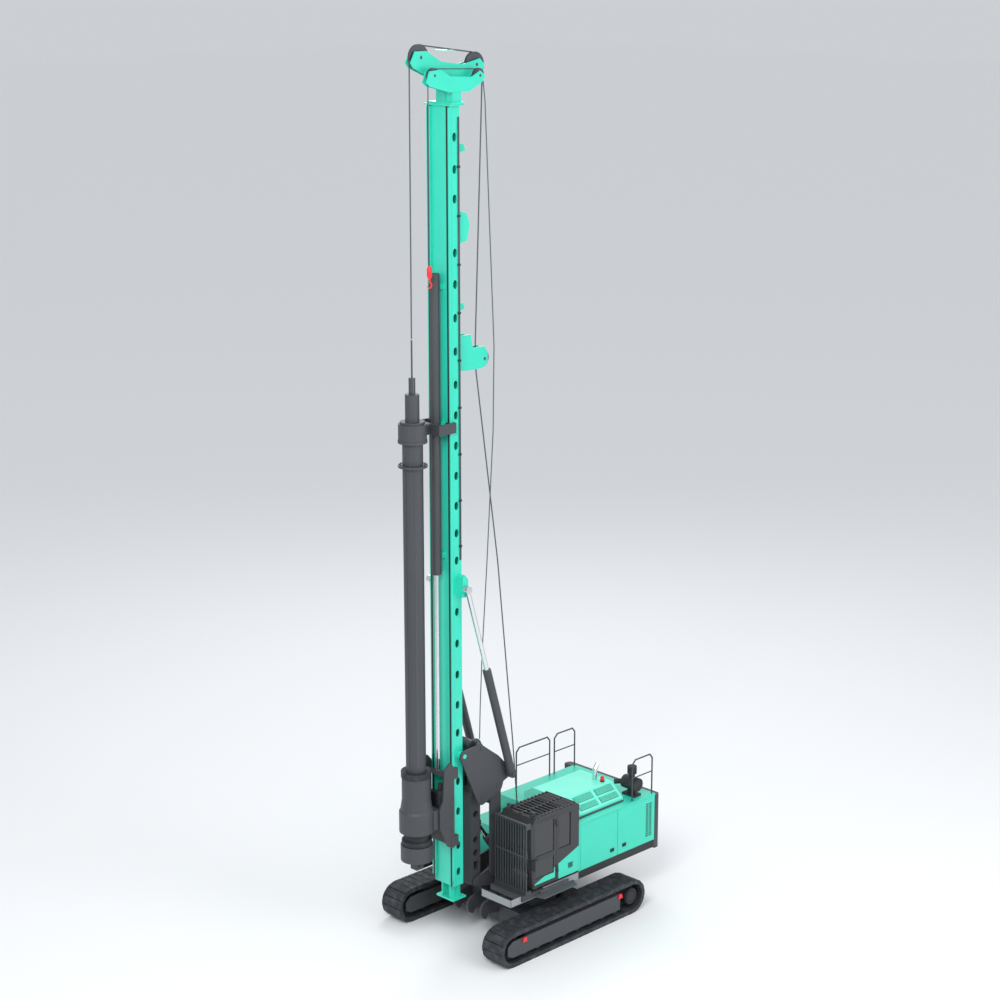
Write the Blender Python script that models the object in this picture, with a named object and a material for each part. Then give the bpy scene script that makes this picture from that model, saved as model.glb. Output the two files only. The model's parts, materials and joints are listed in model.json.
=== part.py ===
"""Rotary piling rig on tracks, built as an assembly of separate pieces.

Metres. +X is the machine's left (the cab's side), -Y its front, +Z up. The origin is on the ground under
the slewing axis, which is also the middle of the outline: the counterweight reaches as far back as the
rotary head reaches forward. Side outlines are lists of (y, z) points, plans are (x, y), cross sections
are (x, z). Each moving piece hangs from an empty on its joint's axis.
"""
from math import cos, pi, radians, sin

import bmesh
import bpy
from mathutils import Matrix, Vector

# ---------------------------------------------------------------- general fits
FIT = 0.0003            # gap between pieces that touch
RUNNING = 0.006         # gap between pieces that move past each other
WELD = 0.004            # how far joined shapes reach into each other
SIDES = 24              # flats on a round piece
SMALL_SIDES = 12        # flats on a small round piece

# ---------------------------------------------------------------- undercarriage
TRACK_CENTRE = 1.629    # half of the gauge
SHOE_WIDTH = 0.60
TRACK_HEIGHT = 0.81
BELT_THICKNESS = 0.10
WHEELBASE = 3.86        # idler axle to sprocket axle
SHOES = 50
SHOE_GAP = 0.012
SHOE_NOTCH = 0.025
ROLLERS = 8
ROLLER_PITCH = 0.42
ROLLER_RADIUS = 0.10
CARRIER_RADIUS = 0.075
CARRIER_SPREAD = 0.75
AXLE_RADIUS = 0.07
FRAME_BEAM = (0.22, 0.60)        # bottom and top of the track frame
FRAME_HALF = 0.24
FRAME_PLATE = 0.03
SPROCKET_TEETH = 19
CARBODY_TOP = 0.93
CARBODY_BOTTOM = 0.36
CARBODY_HALF = 0.95
LEG_Y = 0.72
LEG_HALF = 0.21
LEG_HEIGHTS = (0.33, 0.66)
RING_RADIUS = 0.66
RING_BORE = 0.50
RING_TOP = 1.06

# ---------------------------------------------------------------- superstructure
DECK_TOP = 1.30
DECK_BOTTOM = 1.12
HALF_WIDTH = 1.45
HOUSE_RIGHT = -1.12
HOUSE_FRONT = 0.62
HOUSE_REAR = 3.19
HOUSE_TOP = 2.45
WALL = 0.04
DOOR_GAP = 0.006
DOOR_THICKNESS = 0.035
DOOR_SPLIT = 1.90
KNUCKLE = 0.018
HOOD_X = (-0.40, 1.22)
HOOD_Y = (0.72, 2.32)
HOOD_TOP = 2.84
CAB_X = (0.52, 1.50)
CAB_Y = (-0.98, 0.55)
CAB_BOTTOM = 1.36
CAB_TOP = 3.00
CAB_WALL = 0.05
CAB_DOOR_Y = (-0.90, -0.18)
CAB_DOOR_Z = (1.44, 2.92)
RAIL_RADIUS = 0.018

# ---------------------------------------------------------------- front linkage, y and z of each pin
ARM_FOOT = (-1.45, 1.36)
LINK_FOOT = (-0.98, 1.52)
ARM_LENGTH = 2.00
MAST_PIVOT = (-1.99, 4.50)
TILT_FOOT = (-0.66, 3.78)
TILT_HEAD = (-1.99, 8.30)
LUFF_FOOT = (-0.45, 1.52)
LUFF_HEAD = (-1.20, 2.62)
AUX_WINCH = (-1.55, 4.56)
MAIN_WINCH = (0.31, 2.20)
PIN_RADIUS = 0.05
ARM_HALF = 0.24         # the linkage in layers across: arm, deck lugs, link plates, triangle plates
LUG_X = (0.27, 0.33)
LINK_X = (0.345, 0.395)
TRIANGLE_X = (0.42, 0.46)
TILT_X = 0.57           # middle of each tilt cylinder
TILT_EYE_HALF = 0.06
TILT_BARREL = 0.095
TILT_ROD = 0.055
LUFF_BARREL = 0.085
LUFF_ROD = 0.05

# ---------------------------------------------------------------- mast
MAST_HALF = 0.30
MAST_FRONT = -2.18
MAST_REAR = -1.90
MAST_WALL = 0.02
MAST_BOTTOM = 1.45
MAST_TOP = 18.46
RAIL_HALF = 0.33
RAIL_INNER = 0.22
RAIL_DEPTH = 0.05
HOLE_WIDTH = 0.11
HOLE_HEIGHT = 0.19
FOOT_SIZE = (0.53, 0.40)
FOOT_Z = (1.08, 1.12)

# ---------------------------------------------------------------- crowd, head and kelly
KELLY_Y = -3.0
KELLY_OUTER = 0.2175
KELLY_INNER = 0.15
KELLY_BOTTOM = 2.06
STUB_WIDTH = 0.20
SLEEVE = 0.27
HEAD_RING = 0.33
GEARBOX_RADIUS = 0.38   # its front is the machine's foremost point
GEARBOX_BACK = -2.60
HEAD_BOTTOM = 2.66
HEAD_TOP = 4.34
CROWD_Y = -2.345
CROWD_BARREL = 0.105
CROWD_ROD = 0.05
CROWD_Z = (8.60, 15.03)
CROWD_EYE_Z = 4.20
CROWD_ROD_TOP = 9.95
GUIDE_Z = (11.64, 11.98)
KELLY_NECK = 0.19
SWIVEL_Z = 12.60
WIRE_TOP = 13.73

REAR = GEARBOX_RADIUS - KELLY_Y  # back of the counterweight

# ---------------------------------------------------------------- mast head, sheave centres y and z
MAIN_FRONT_SHEAVE = (-2.74, 19.40)
MAIN_REAR_SHEAVE = (-1.19, 19.20)
AUX_FRONT_SHEAVE = (-2.62, 19.05)
AUX_REAR_SHEAVE = (-1.36, 19.00)
DEFLECTION_SHEAVE = (-1.01, 13.09)
SHEAVE_RADIUS = 0.26
AUX_SHEAVE_RADIUS = 0.15
DEFLECTION_RADIUS = 0.20
SHEAVE_HALF = 0.028
AUX_X = 0.29            # plane of the auxiliary rope

# name: (red, green, blue as displayed 0-255, roughness, metallic)
FINISHES = {
    "green_paint": (46, 205, 178, 0.42, 0.0),
    "dark_paint": (74, 77, 80, 0.50, 0.0),
    "track_steel": (70, 73, 78, 0.55, 0.6),
    "chrome": (215, 218, 220, 0.12, 1.0),
    "machined_steel": (120, 124, 128, 0.35, 0.9),
    "cab_paint": (66, 67, 70, 0.45, 0.0),
    "rubber": (34, 35, 37, 0.80, 0.0),
    "grating": (96, 100, 104, 0.60, 0.5),
    "iron": (58, 60, 63, 0.60, 0.3),
}


# ================================================================ shapes
def bore(radius):
    """Corner radius of a hole whose flats clear a turning pin of this radius."""
    return (radius + FIT) / cos(pi / SIDES)


def arc(centre, radius, start, end, steps):
    """Points on an arc, angles in degrees from the first axis towards the second."""
    turn = [radians(start + (end - start) * i / steps) for i in range(steps + 1)]
    return [(centre[0] + radius * cos(a), centre[1] + radius * sin(a)) for a in turn]


def prism(axis, low, high, outline):
    """Outline extruded along X, Y or Z; outlines are (y, z), (x, z) and (x, y)."""
    place = {"X": lambda p, t: (t, p[0], p[1]),
             "Y": lambda p, t: (p[0], t, p[1]),
             "Z": lambda p, t: (p[0], p[1], t)}[axis]
    bm = bmesh.new()
    rings = [[bm.verts.new(place(p, t)) for p in outline] for t in sorted((low, high))]
    count = len(outline)
    bm.faces.new(rings[0])
    bm.faces.new(reversed(rings[1]))
    for i in range(count):
        j = (i + 1) % count
        bm.faces.new((rings[0][j], rings[0][i], rings[1][i], rings[1][j]))
    bmesh.ops.recalc_face_normals(bm, faces=bm.faces[:])
    return bm


def block(x, y, z):
    """Box from three (low, high) pairs."""
    return prism("Z", z[0], z[1], [(x[0], y[0]), (x[1], y[0]), (x[1], y[1]), (x[0], y[1])])


def disc(axis, centre, radius, low, high, sides=SIDES):
    """Round bar along an axis; centre is in the plane across it."""
    return prism(axis, low, high, arc(centre, radius, 0, 360 - 360 / sides, sides - 1))


def turned(centre, profile, sides=SIDES):
    """Closed (radius, z) profile turned about a vertical axis through centre (x, y)."""
    bm = bmesh.new()
    rings = []
    for radius, z in profile:
        if radius == 0:
            rings.append([bm.verts.new((centre[0], centre[1], z))] * sides)
        else:
            rings.append([bm.verts.new((x, y, z))
                          for x, y in arc(centre, radius, 0, 360 - 360 / sides, sides - 1)])
    closed = all(radius > 0 for radius, z in profile)
    last = len(profile) if closed else len(profile) - 1
    for k in range(last):
        a, b = rings[k], rings[(k + 1) % len(profile)]
        for i in range(sides):
            j = (i + 1) % sides
            corners = list(dict.fromkeys((a[i], a[j], b[j], b[i])))
            bm.faces.new(corners)
    bmesh.ops.recalc_face_normals(bm, faces=bm.faces[:])
    return bm


def laid(bm, matrix):
    """The shape moved by a matrix."""
    bmesh.ops.transform(bm, matrix=matrix, verts=bm.verts[:])
    return bm


def turned_across(x, centre, profile, sides=SIDES):
    """Profile of (radius, offset along X) turned about an axis along X through (y, z)."""
    bm = turned((0, 0), profile, sides)
    spin = Matrix.Rotation(pi / 2, 4, "Y")
    return laid(bm, Matrix.Translation((x, centre[0], centre[1])) @ spin)


def rod(start, end, radius, sides=SIDES):
    """Round bar between two points in space."""
    start, end = Vector(start), Vector(end)
    run = end - start
    bm = disc("Z", (0, 0), radius, 0, run.length, sides)
    return laid(bm, Matrix.Translation(start) @ run.to_track_quat("Z", "Y").to_matrix().to_4x4())


def bent_bar(points, radius, sides=8):
    """Round bar along a bent line, mitred at each bend."""
    points = [Vector(p) for p in points]
    bm = bmesh.new()
    rings = []
    across = None
    for i, point in enumerate(points):
        before = (point - points[max(i - 1, 0)]).normalized()
        after = (points[min(i + 1, len(points) - 1)] - point).normalized()
        along = (before + after).normalized()
        stretch = 1 / max(along.dot(after if i < len(points) - 1 else before), 0.5)
        if across is None:
            across = along.orthogonal().normalized()
        across = (across - along * across.dot(along)).normalized()
        other = along.cross(across)
        bend = before.cross(after)
        side = bend.cross(along).normalized() if bend.length > 1e-6 else across
        ring = []
        for k in range(sides):
            angle = 2 * pi * k / sides
            spoke = across * cos(angle) + other * sin(angle)
            spoke += side * spoke.dot(side) * (stretch - 1)
            ring.append(bm.verts.new(point + spoke * radius))
        rings.append(ring)
    bm.faces.new(reversed(rings[0]))
    bm.faces.new(rings[-1])
    for a, b in zip(rings, rings[1:]):
        for k in range(sides):
            j = (k + 1) % sides
            bm.faces.new((a[k], a[j], b[j], b[k]))
    bmesh.ops.recalc_face_normals(bm, faces=bm.faces[:])
    return bm


def plate(side, inner, outer, outline):
    """Side plate between two distances from the middle, on the left (1) or the right (-1)."""
    return prism("X", side * inner, side * outer, outline)


# ================================================================ objects
def finish_material(name):
    """The Principled material of one finish."""
    if name in bpy.data.materials:
        return bpy.data.materials[name]
    red, green, blue, roughness, metallic = FINISHES[name]
    linear = [(c / 255 / 12.92 if c <= 10 else ((c / 255 + 0.055) / 1.055) ** 2.4)
              for c in (red, green, blue)]
    material = bpy.data.materials.new(name)
    material.use_nodes = True
    shader = material.node_tree.nodes["Principled BSDF"]
    shader.inputs["Base Color"].default_value = (*linear, 1)
    shader.inputs["Roughness"].default_value = roughness
    shader.inputs["Metallic"].default_value = metallic
    material.diffuse_color = (*linear, 1)
    return material


def plain_object(name, bm):
    """Object holding a shape as it is."""
    mesh = bpy.data.meshes.new(name)
    bm.to_mesh(mesh)
    bm.free()
    obj = bpy.data.objects.new(name, mesh)
    bpy.context.scene.collection.objects.link(obj)
    return obj


def fuse(name, finish, hanger, adds, cuts=()):
    """One piece: the shapes joined, the cuts taken away, hung from the empty of its body."""
    base = plain_object(name, adds[0])
    tools = []
    for operation, shapes in (("UNION", adds[1:]), ("DIFFERENCE", cuts)):
        for shape in shapes:
            tool = plain_object(name + "_tool", shape)
            modifier = base.modifiers.new(operation.lower(), "BOOLEAN")
            modifier.operation = operation
            modifier.object = tool
            tools.append(tool)
    graph = bpy.context.evaluated_depsgraph_get()
    mesh = bpy.data.meshes.new_from_object(base.evaluated_get(graph))
    base.modifiers.clear()
    rough = base.data
    base.data = mesh
    bpy.data.meshes.remove(rough)
    for tool in tools:
        bpy.data.meshes.remove(tool.data)
    mesh.name = name
    mesh.materials.clear()
    mesh.materials.append(finish_material(finish))
    mesh.shade_smooth()
    mesh.set_sharp_from_angle(angle=radians(30))
    if hanger is not None:
        mesh.transform(Matrix.Translation(-hanger.matrix_world.translation))
        base.parent = hanger
    return base


def hanger(name, place, parent=None):
    """Empty on a joint's axis, at a place in space, that carries one body."""
    empty = bpy.data.objects.new(name, None)
    empty.empty_display_size = 0.3
    bpy.context.scene.collection.objects.link(empty)
    origin = parent.matrix_world.translation if parent else Vector()
    empty.parent = parent
    empty.location = Vector(place) - origin
    bpy.context.view_layer.update()
    return empty


# ================================================================ undercarriage
def loop_point(s, radius):
    """Point of the track loop, s metres along it from the middle of the ground run."""
    half, top = WHEELBASE / 2, TRACK_HEIGHT / 2
    turn = pi * TRACK_HEIGHT / 2
    s %= 2 * WHEELBASE + 2 * turn
    if s <= half:
        return (s, top - radius)
    if s <= half + turn:
        angle = (s - half) / turn * pi - pi / 2
        return (half + radius * cos(angle), top + radius * sin(angle))
    if s <= half + turn + WHEELBASE:
        return (half - (s - half - turn), top + radius)
    if s <= half + 2 * turn + WHEELBASE:
        angle = (s - half - turn - WHEELBASE) / turn * pi + pi / 2
        return (-half + radius * cos(angle), top + radius * sin(angle))
    return (s - 2 * WHEELBASE - 2 * turn, top - radius)


def belt_outline():
    """Outside of the track: one flat plate to a shoe, with a notch between plates."""
    outer = TRACK_HEIGHT / 2
    pitch = (2 * WHEELBASE + 2 * pi * outer) / SHOES
    points = []
    for shoe in range(SHOES):
        start = (shoe - 0.5) * pitch
        points.append(loop_point(start, outer - SHOE_NOTCH))
        points.append(loop_point(start + SHOE_GAP, outer))
        points.append(loop_point(start + pitch - SHOE_GAP, outer))
    return points


def obround(radius, half_length, centre_z, steps):
    """Two half circles a wheelbase apart, joined by straights."""
    return (arc((half_length, centre_z), radius, -90, 90, steps)
            + arc((-half_length, centre_z), radius, 90, 270, steps))


def build_undercarriage():
    """Carbody, slewing ring, and a frame, belt, sprocket and idler on each side."""
    axle_z = TRACK_HEIGHT / 2
    inner = axle_z - BELT_THICKNESS
    wheel = inner - FIT
    tooth = wheel * cos(pi / SIDES)
    half = WHEELBASE / 2
    cut = 0.40
    plan = [(CARBODY_HALF, -cut), (CARBODY_HALF, cut), (cut, CARBODY_HALF), (-cut, CARBODY_HALF),
            (-CARBODY_HALF, cut), (-CARBODY_HALF, -cut), (-cut, -CARBODY_HALF), (cut, -CARBODY_HALF)]
    reach = TRACK_CENTRE - FRAME_HALF - FRAME_PLATE - FIT
    body = [prism("Z", CARBODY_BOTTOM, CARBODY_TOP, plan)]
    for end in (-1, 1):
        leg = sorted((end * LEG_Y - LEG_HALF, end * LEG_Y + LEG_HALF))
        body.append(block((-reach, reach), leg, LEG_HEIGHTS))
    lug = ([(-0.90, 0.90), (-1.28, 0.88)] + arc((-1.28, 0.66), 0.22, 90, 250, 6)
           + [(-1.26, 0.56), (-0.90, 0.50)])
    for x in (-0.42, 0.0, 0.42):
        body.append(prism("X", x - 0.03, x + 0.03, lug))
    fuse("carbody", "dark_paint", None, body)
    race = [(RING_RADIUS, CARBODY_TOP + FIT), (RING_RADIUS, RING_TOP),
            (RING_BORE, RING_TOP), (RING_BORE, CARBODY_TOP + FIT)]
    fuse("slew_ring", "machined_steel", None, [turned((0, 0), race)])
    for side, word in ((1, "left"), (-1, "right")):
        x = side * TRACK_CENTRE
        low, high = FRAME_BEAM
        belt = prism("X", x - SHOE_WIDTH / 2, x + SHOE_WIDTH / 2, belt_outline())
        bore_belt = prism("X", x - SHOE_WIDTH, x + SHOE_WIDTH, obround(inner, half, axle_z, 12))
        fuse(f"track_{word}", "track_steel", None, [belt], [bore_belt])
        beam = [block((x - 0.19, x + 0.19), (-1.50, 1.50), (low, high))]
        long_plate = [(-2.10, low + 0.08), (-2.10, high - 0.10), (-1.95, high), (1.52, high),
                      (1.52, low), (-1.95, low)]
        drive_plate = [(-2.10, low + 0.08), (-2.10, high - 0.10), (-1.95, high), (2.05, high),
                       (2.12, high - 0.10), (2.12, low + 0.10), (2.05, low), (-1.95, low)]
        for face, outline in ((side, long_plate), (-side, drive_plate)):
            beam.append(prism("X", x + face * FRAME_HALF, x + face * (FRAME_HALF + FRAME_PLATE), outline))
            beam.append(prism("X", x + face * 0.18, x + face * (FRAME_HALF + WELD),
                              [(-1.45, low + 0.02), (1.45, low + 0.02), (1.45, high - 0.02),
                               (-1.45, high - 0.02)]))
        for i in range(ROLLERS):
            y = (i - (ROLLERS - 1) / 2) * ROLLER_PITCH
            beam.append(disc("X", (y, BELT_THICKNESS + FIT + ROLLER_RADIUS), ROLLER_RADIUS,
                             x - 0.16, x + 0.16, SMALL_SIDES))
        for y in (-CARRIER_SPREAD, CARRIER_SPREAD):
            top = TRACK_HEIGHT - BELT_THICKNESS - FIT - CARRIER_RADIUS
            beam.append(disc("X", (y, top), CARRIER_RADIUS, x - 0.12, x + 0.12, SMALL_SIDES))
        fuse(f"track_frame_{word}", "dark_paint", None, beam)
        axle = FRAME_HALF - FIT
        idler = [disc("X", (-half, axle_z), wheel, x - 0.10, x + 0.10),
                 disc("X", (-half, axle_z), AXLE_RADIUS, x - axle, x + axle)]
        fuse(f"idler_{word}", "track_steel", None, idler)
        teeth = []
        for i in range(SPROCKET_TEETH):
            for share, radius in ((-0.3, 0.25), (-0.12, tooth), (0.12, tooth), (0.3, 0.25)):
                angle = 2 * pi * (i + share) / SPROCKET_TEETH
                teeth.append((half + radius * cos(angle), axle_z + radius * sin(angle)))
        ends = sorted((x - side * axle, x + side * 0.23))
        sprocket = [prism("X", x - 0.04, x + 0.04, teeth), disc("X", (half, axle_z), 0.19, *ends)]
        fuse(f"sprocket_{word}", "track_steel", None, sprocket)


# ================================================================ superstructure
def pin_cut(side, inner, outer, centre, radius=PIN_RADIUS):
    """Hole across a side plate for a turning pin."""
    reach = 0.01
    return disc("X", centre, bore(radius), side * (inner - reach), side * (outer + reach))


def pin_bar(side, inner, outer, centre, radius=PIN_RADIUS):
    """Pin along X on one side of the machine."""
    return disc("X", centre, radius, side * inner, side * outer)


def build_platform(slew):
    """Deck, counterweight, step, winch frame and what stands fixed on the deck."""
    half = HALF_WIDTH
    solids = [block((-half, half), (-0.60, HOUSE_REAR), (DECK_BOTTOM, DECK_TOP)),
              disc("Z", (0, 0), 0.62, RING_TOP + FIT, DECK_BOTTOM + WELD),
              block((CAB_X[0] - 0.02, CAB_X[1]), (-1.25, -0.59), (1.17, DECK_TOP)),
              block((-half + 0.15, -0.50), (-1.05, -0.59), (1.17, DECK_TOP)),
              block((-0.34, 0.34), (-0.85, -0.59), (DECK_BOTTOM, 1.20))]
    lugs = [(-0.30, DECK_TOP - 0.05), (-0.34, 1.62), (-0.54, 1.66), (-0.84, 1.62)]
    lugs += arc(LINK_FOOT, 0.13, 30, 150, 5) + arc(ARM_FOOT, 0.115, 80, 250, 7)
    lugs += [(-0.95, 1.14), (-0.30, 1.14)]
    cuts = []
    for side in (-1, 1):
        solids.append(plate(side, *LUG_X, lugs))
        cuts += [pin_cut(side, *LUG_X, ARM_FOOT), pin_cut(side, *LUG_X, LINK_FOOT)]
        solids.append(plate(side, 0.085, 0.12, [(-0.30, 1.25), (-0.34, 1.62), (-0.56, 1.62), (-0.66, 1.15)]))
        cuts.append(pin_cut(side, 0.08, 0.12, LUFF_FOOT))
    fuse("platform", "dark_paint", slew, solids, cuts)
    corner = 0.11
    plan = [(-half, HOUSE_REAR + FIT)] + [(half, HOUSE_REAR + FIT)]
    plan += arc((half - corner, REAR - corner), corner, 0, 90, 6)
    plan += arc((corner - half, REAR - corner), corner, 90, 180, 6)
    inner = block((HOUSE_RIGHT + WALL + 0.01, half - 0.07), (2.62, HOUSE_REAR + 0.02),
                  (DECK_TOP + FIT, HOUSE_TOP - WALL - 0.01))
    fuse("counterweight", "dark_paint", slew, [prism("Z", 1.08, 2.40, plan), inner])
    step = [(CAB_X[1] + FIT, -0.87), (1.74, -0.80), (1.74, 0.25), (CAB_X[1] + FIT, 0.38)]
    fuse("cab_step", "grating", slew, [prism("Z", 1.18, 1.20, step),
                                       block((CAB_X[1] + FIT, 1.53), (-0.7, 0.2), (1.18, 1.28))])
    frame = []
    cuts = []
    for side in (-1, 1):
        outline = [(0.02, DECK_TOP + FIT), (0.60, DECK_TOP + FIT), (0.58, 2.20), (0.42, 2.36), (0.20, 2.36),
                   (0.06, 2.20)]
        frame.append(plate(side, 0.40, 0.43, outline))
        cuts.append(pin_cut(side, 0.40, 0.43, MAIN_WINCH))
    frame.append(block((-0.42, 0.42), (0.10, 0.50), (DECK_TOP + FIT, DECK_TOP + 0.06)))
    fuse("main_winch_frame", "dark_paint", slew, frame, cuts)


def build_house(slew):
    """Sheet-metal house over the engine, open under the hood and behind its doors."""
    low = DECK_TOP + FIT
    x_low, x_high = HOUSE_RIGHT, HALF_WIDTH
    post = DOOR_THICKNESS + 0.01
    solids = [block((x_low, x_high), (HOUSE_FRONT - 0.02, HOUSE_FRONT + WALL), (low, HOUSE_TOP)),
              block((x_low, x_high), (HOUSE_FRONT - 0.02, HOUSE_REAR), (HOUSE_TOP - WALL, HOUSE_TOP)),
              block((x_low, x_low + WALL), (HOUSE_FRONT, HOUSE_REAR), (low, HOUSE_TOP)),
              block((x_high - post - 0.04, x_high - post), (DOOR_SPLIT - 0.03, DOOR_SPLIT + 0.03),
                    (low, HOUSE_TOP - WELD))]
    cuts = [block((HOOD_X[0] + 0.03, HOOD_X[1] - 0.03), (HOOD_Y[0] + 0.03, HOOD_Y[1] - 0.03),
                  (HOUSE_TOP - 0.2, HOUSE_TOP + 0.1)),
            block((x_low - 0.1, x_low + 0.1), (DOOR_SPLIT, HOUSE_REAR - 0.10), (1.36, 2.38))]
    fuse("engine_house", "green_paint", slew, solids, cuts)
    fuse("engine_block", "iron", slew, [block((-0.30, 0.90), (0.95, 2.25), (low, 2.20))])
    tank = block((HOUSE_RIGHT, -0.50), (-0.30, HOUSE_FRONT - 0.02 - RUNNING), (low, 2.10))
    fuse("fuel_tank", "green_paint", slew, [tank])


def door_leaf(side, y_hinge, y_edge, heights, sill):
    """Flat door in a side wall with a knuckle down its hinge edge."""
    x_out = HALF_WIDTH if side > 0 else -HOUSE_RIGHT
    x = sorted((side * (x_out - DOOR_THICKNESS), side * x_out))
    leaf = block(x, sorted((y_hinge, y_edge)), heights)
    knuckle = disc("Z", (side * (x_out - KNUCKLE + 0.004), y_hinge), KNUCKLE, sill + FIT, heights[1],
                   SMALL_SIDES)
    return [leaf, knuckle]


def build_doors(slew):
    """Left service doors, right service door, cab door and engine hood, each on its own axis."""
    sill = DECK_TOP
    heights = (sill + DOOR_GAP, HOUSE_TOP - WALL - DOOR_GAP)
    front = HOUSE_FRONT + WALL + 0.025
    rear = HOUSE_REAR - 0.025
    table = (  # name, side, hinge y, free edge y, heights, sill
        ("left_service_door_front", 1, front, DOOR_SPLIT - DOOR_GAP, heights, sill),
        ("left_service_door_rear", 1, rear, DOOR_SPLIT + DOOR_GAP, heights, sill),
    )
    for name, side, hinge, edge, tall, floor in table:
        axis = hanger(name + "_axis", (side * (HALF_WIDTH - KNUCKLE + 0.004), hinge, floor), slew)
        fuse(name, "green_paint", axis, door_leaf(side, hinge, edge, tall, floor))
    hinge = HOUSE_REAR - 0.13
    x_axis = HOUSE_RIGHT + KNUCKLE - 0.004
    axis = hanger("right_service_door_axis", (x_axis, hinge, 1.36), slew)
    fuse("right_service_door", "green_paint", axis,
         door_leaf(-1, hinge, DOOR_SPLIT + 0.01, (1.37, 2.37), 1.36))
    axis = hanger("engine_hood_axis", (HOOD_X[0], HOOD_Y[0], HOUSE_TOP + 0.02), slew)
    outer = [(HOOD_X[0], HOUSE_TOP + 0.008), (HOOD_X[1], HOUSE_TOP + 0.008), (HOOD_X[1], HOUSE_TOP + 0.08),
             (0.86, HOOD_TOP), (-0.12, HOOD_TOP), (HOOD_X[0], 2.66)]
    skin = 0.025
    inner = [(HOOD_X[0] + skin, HOUSE_TOP - 0.1), (HOOD_X[1] - skin, HOUSE_TOP - 0.1),
             (HOOD_X[1] - skin, HOUSE_TOP + 0.07), (0.85, HOOD_TOP - skin), (-0.11, HOOD_TOP - skin),
             (HOOD_X[0] + skin, 2.65)]
    feet = [block((HOOD_X[0], HOOD_X[0] + 0.06), (y, y + 0.06), (HOUSE_TOP + FIT, HOUSE_TOP + 0.03))
            for y in (HOOD_Y[0], HOOD_Y[1] - 0.06)]
    fuse("engine_hood", "green_paint", axis, [prism("Y", *HOOD_Y, outer)] + feet,
         [prism("Y", HOOD_Y[0] + skin, HOOD_Y[1] - skin, inner)])
    stack = [disc("Z", (0.52, 2.12), 0.055, HOOD_TOP + FIT, HOOD_TOP + 0.26, 16),
             rod((0.52, 2.12, HOOD_TOP + 0.24), (0.52, 2.22, HOOD_TOP + 0.36), 0.055, 16)]
    fuse("exhaust_stack", "chrome", axis, stack)


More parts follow.
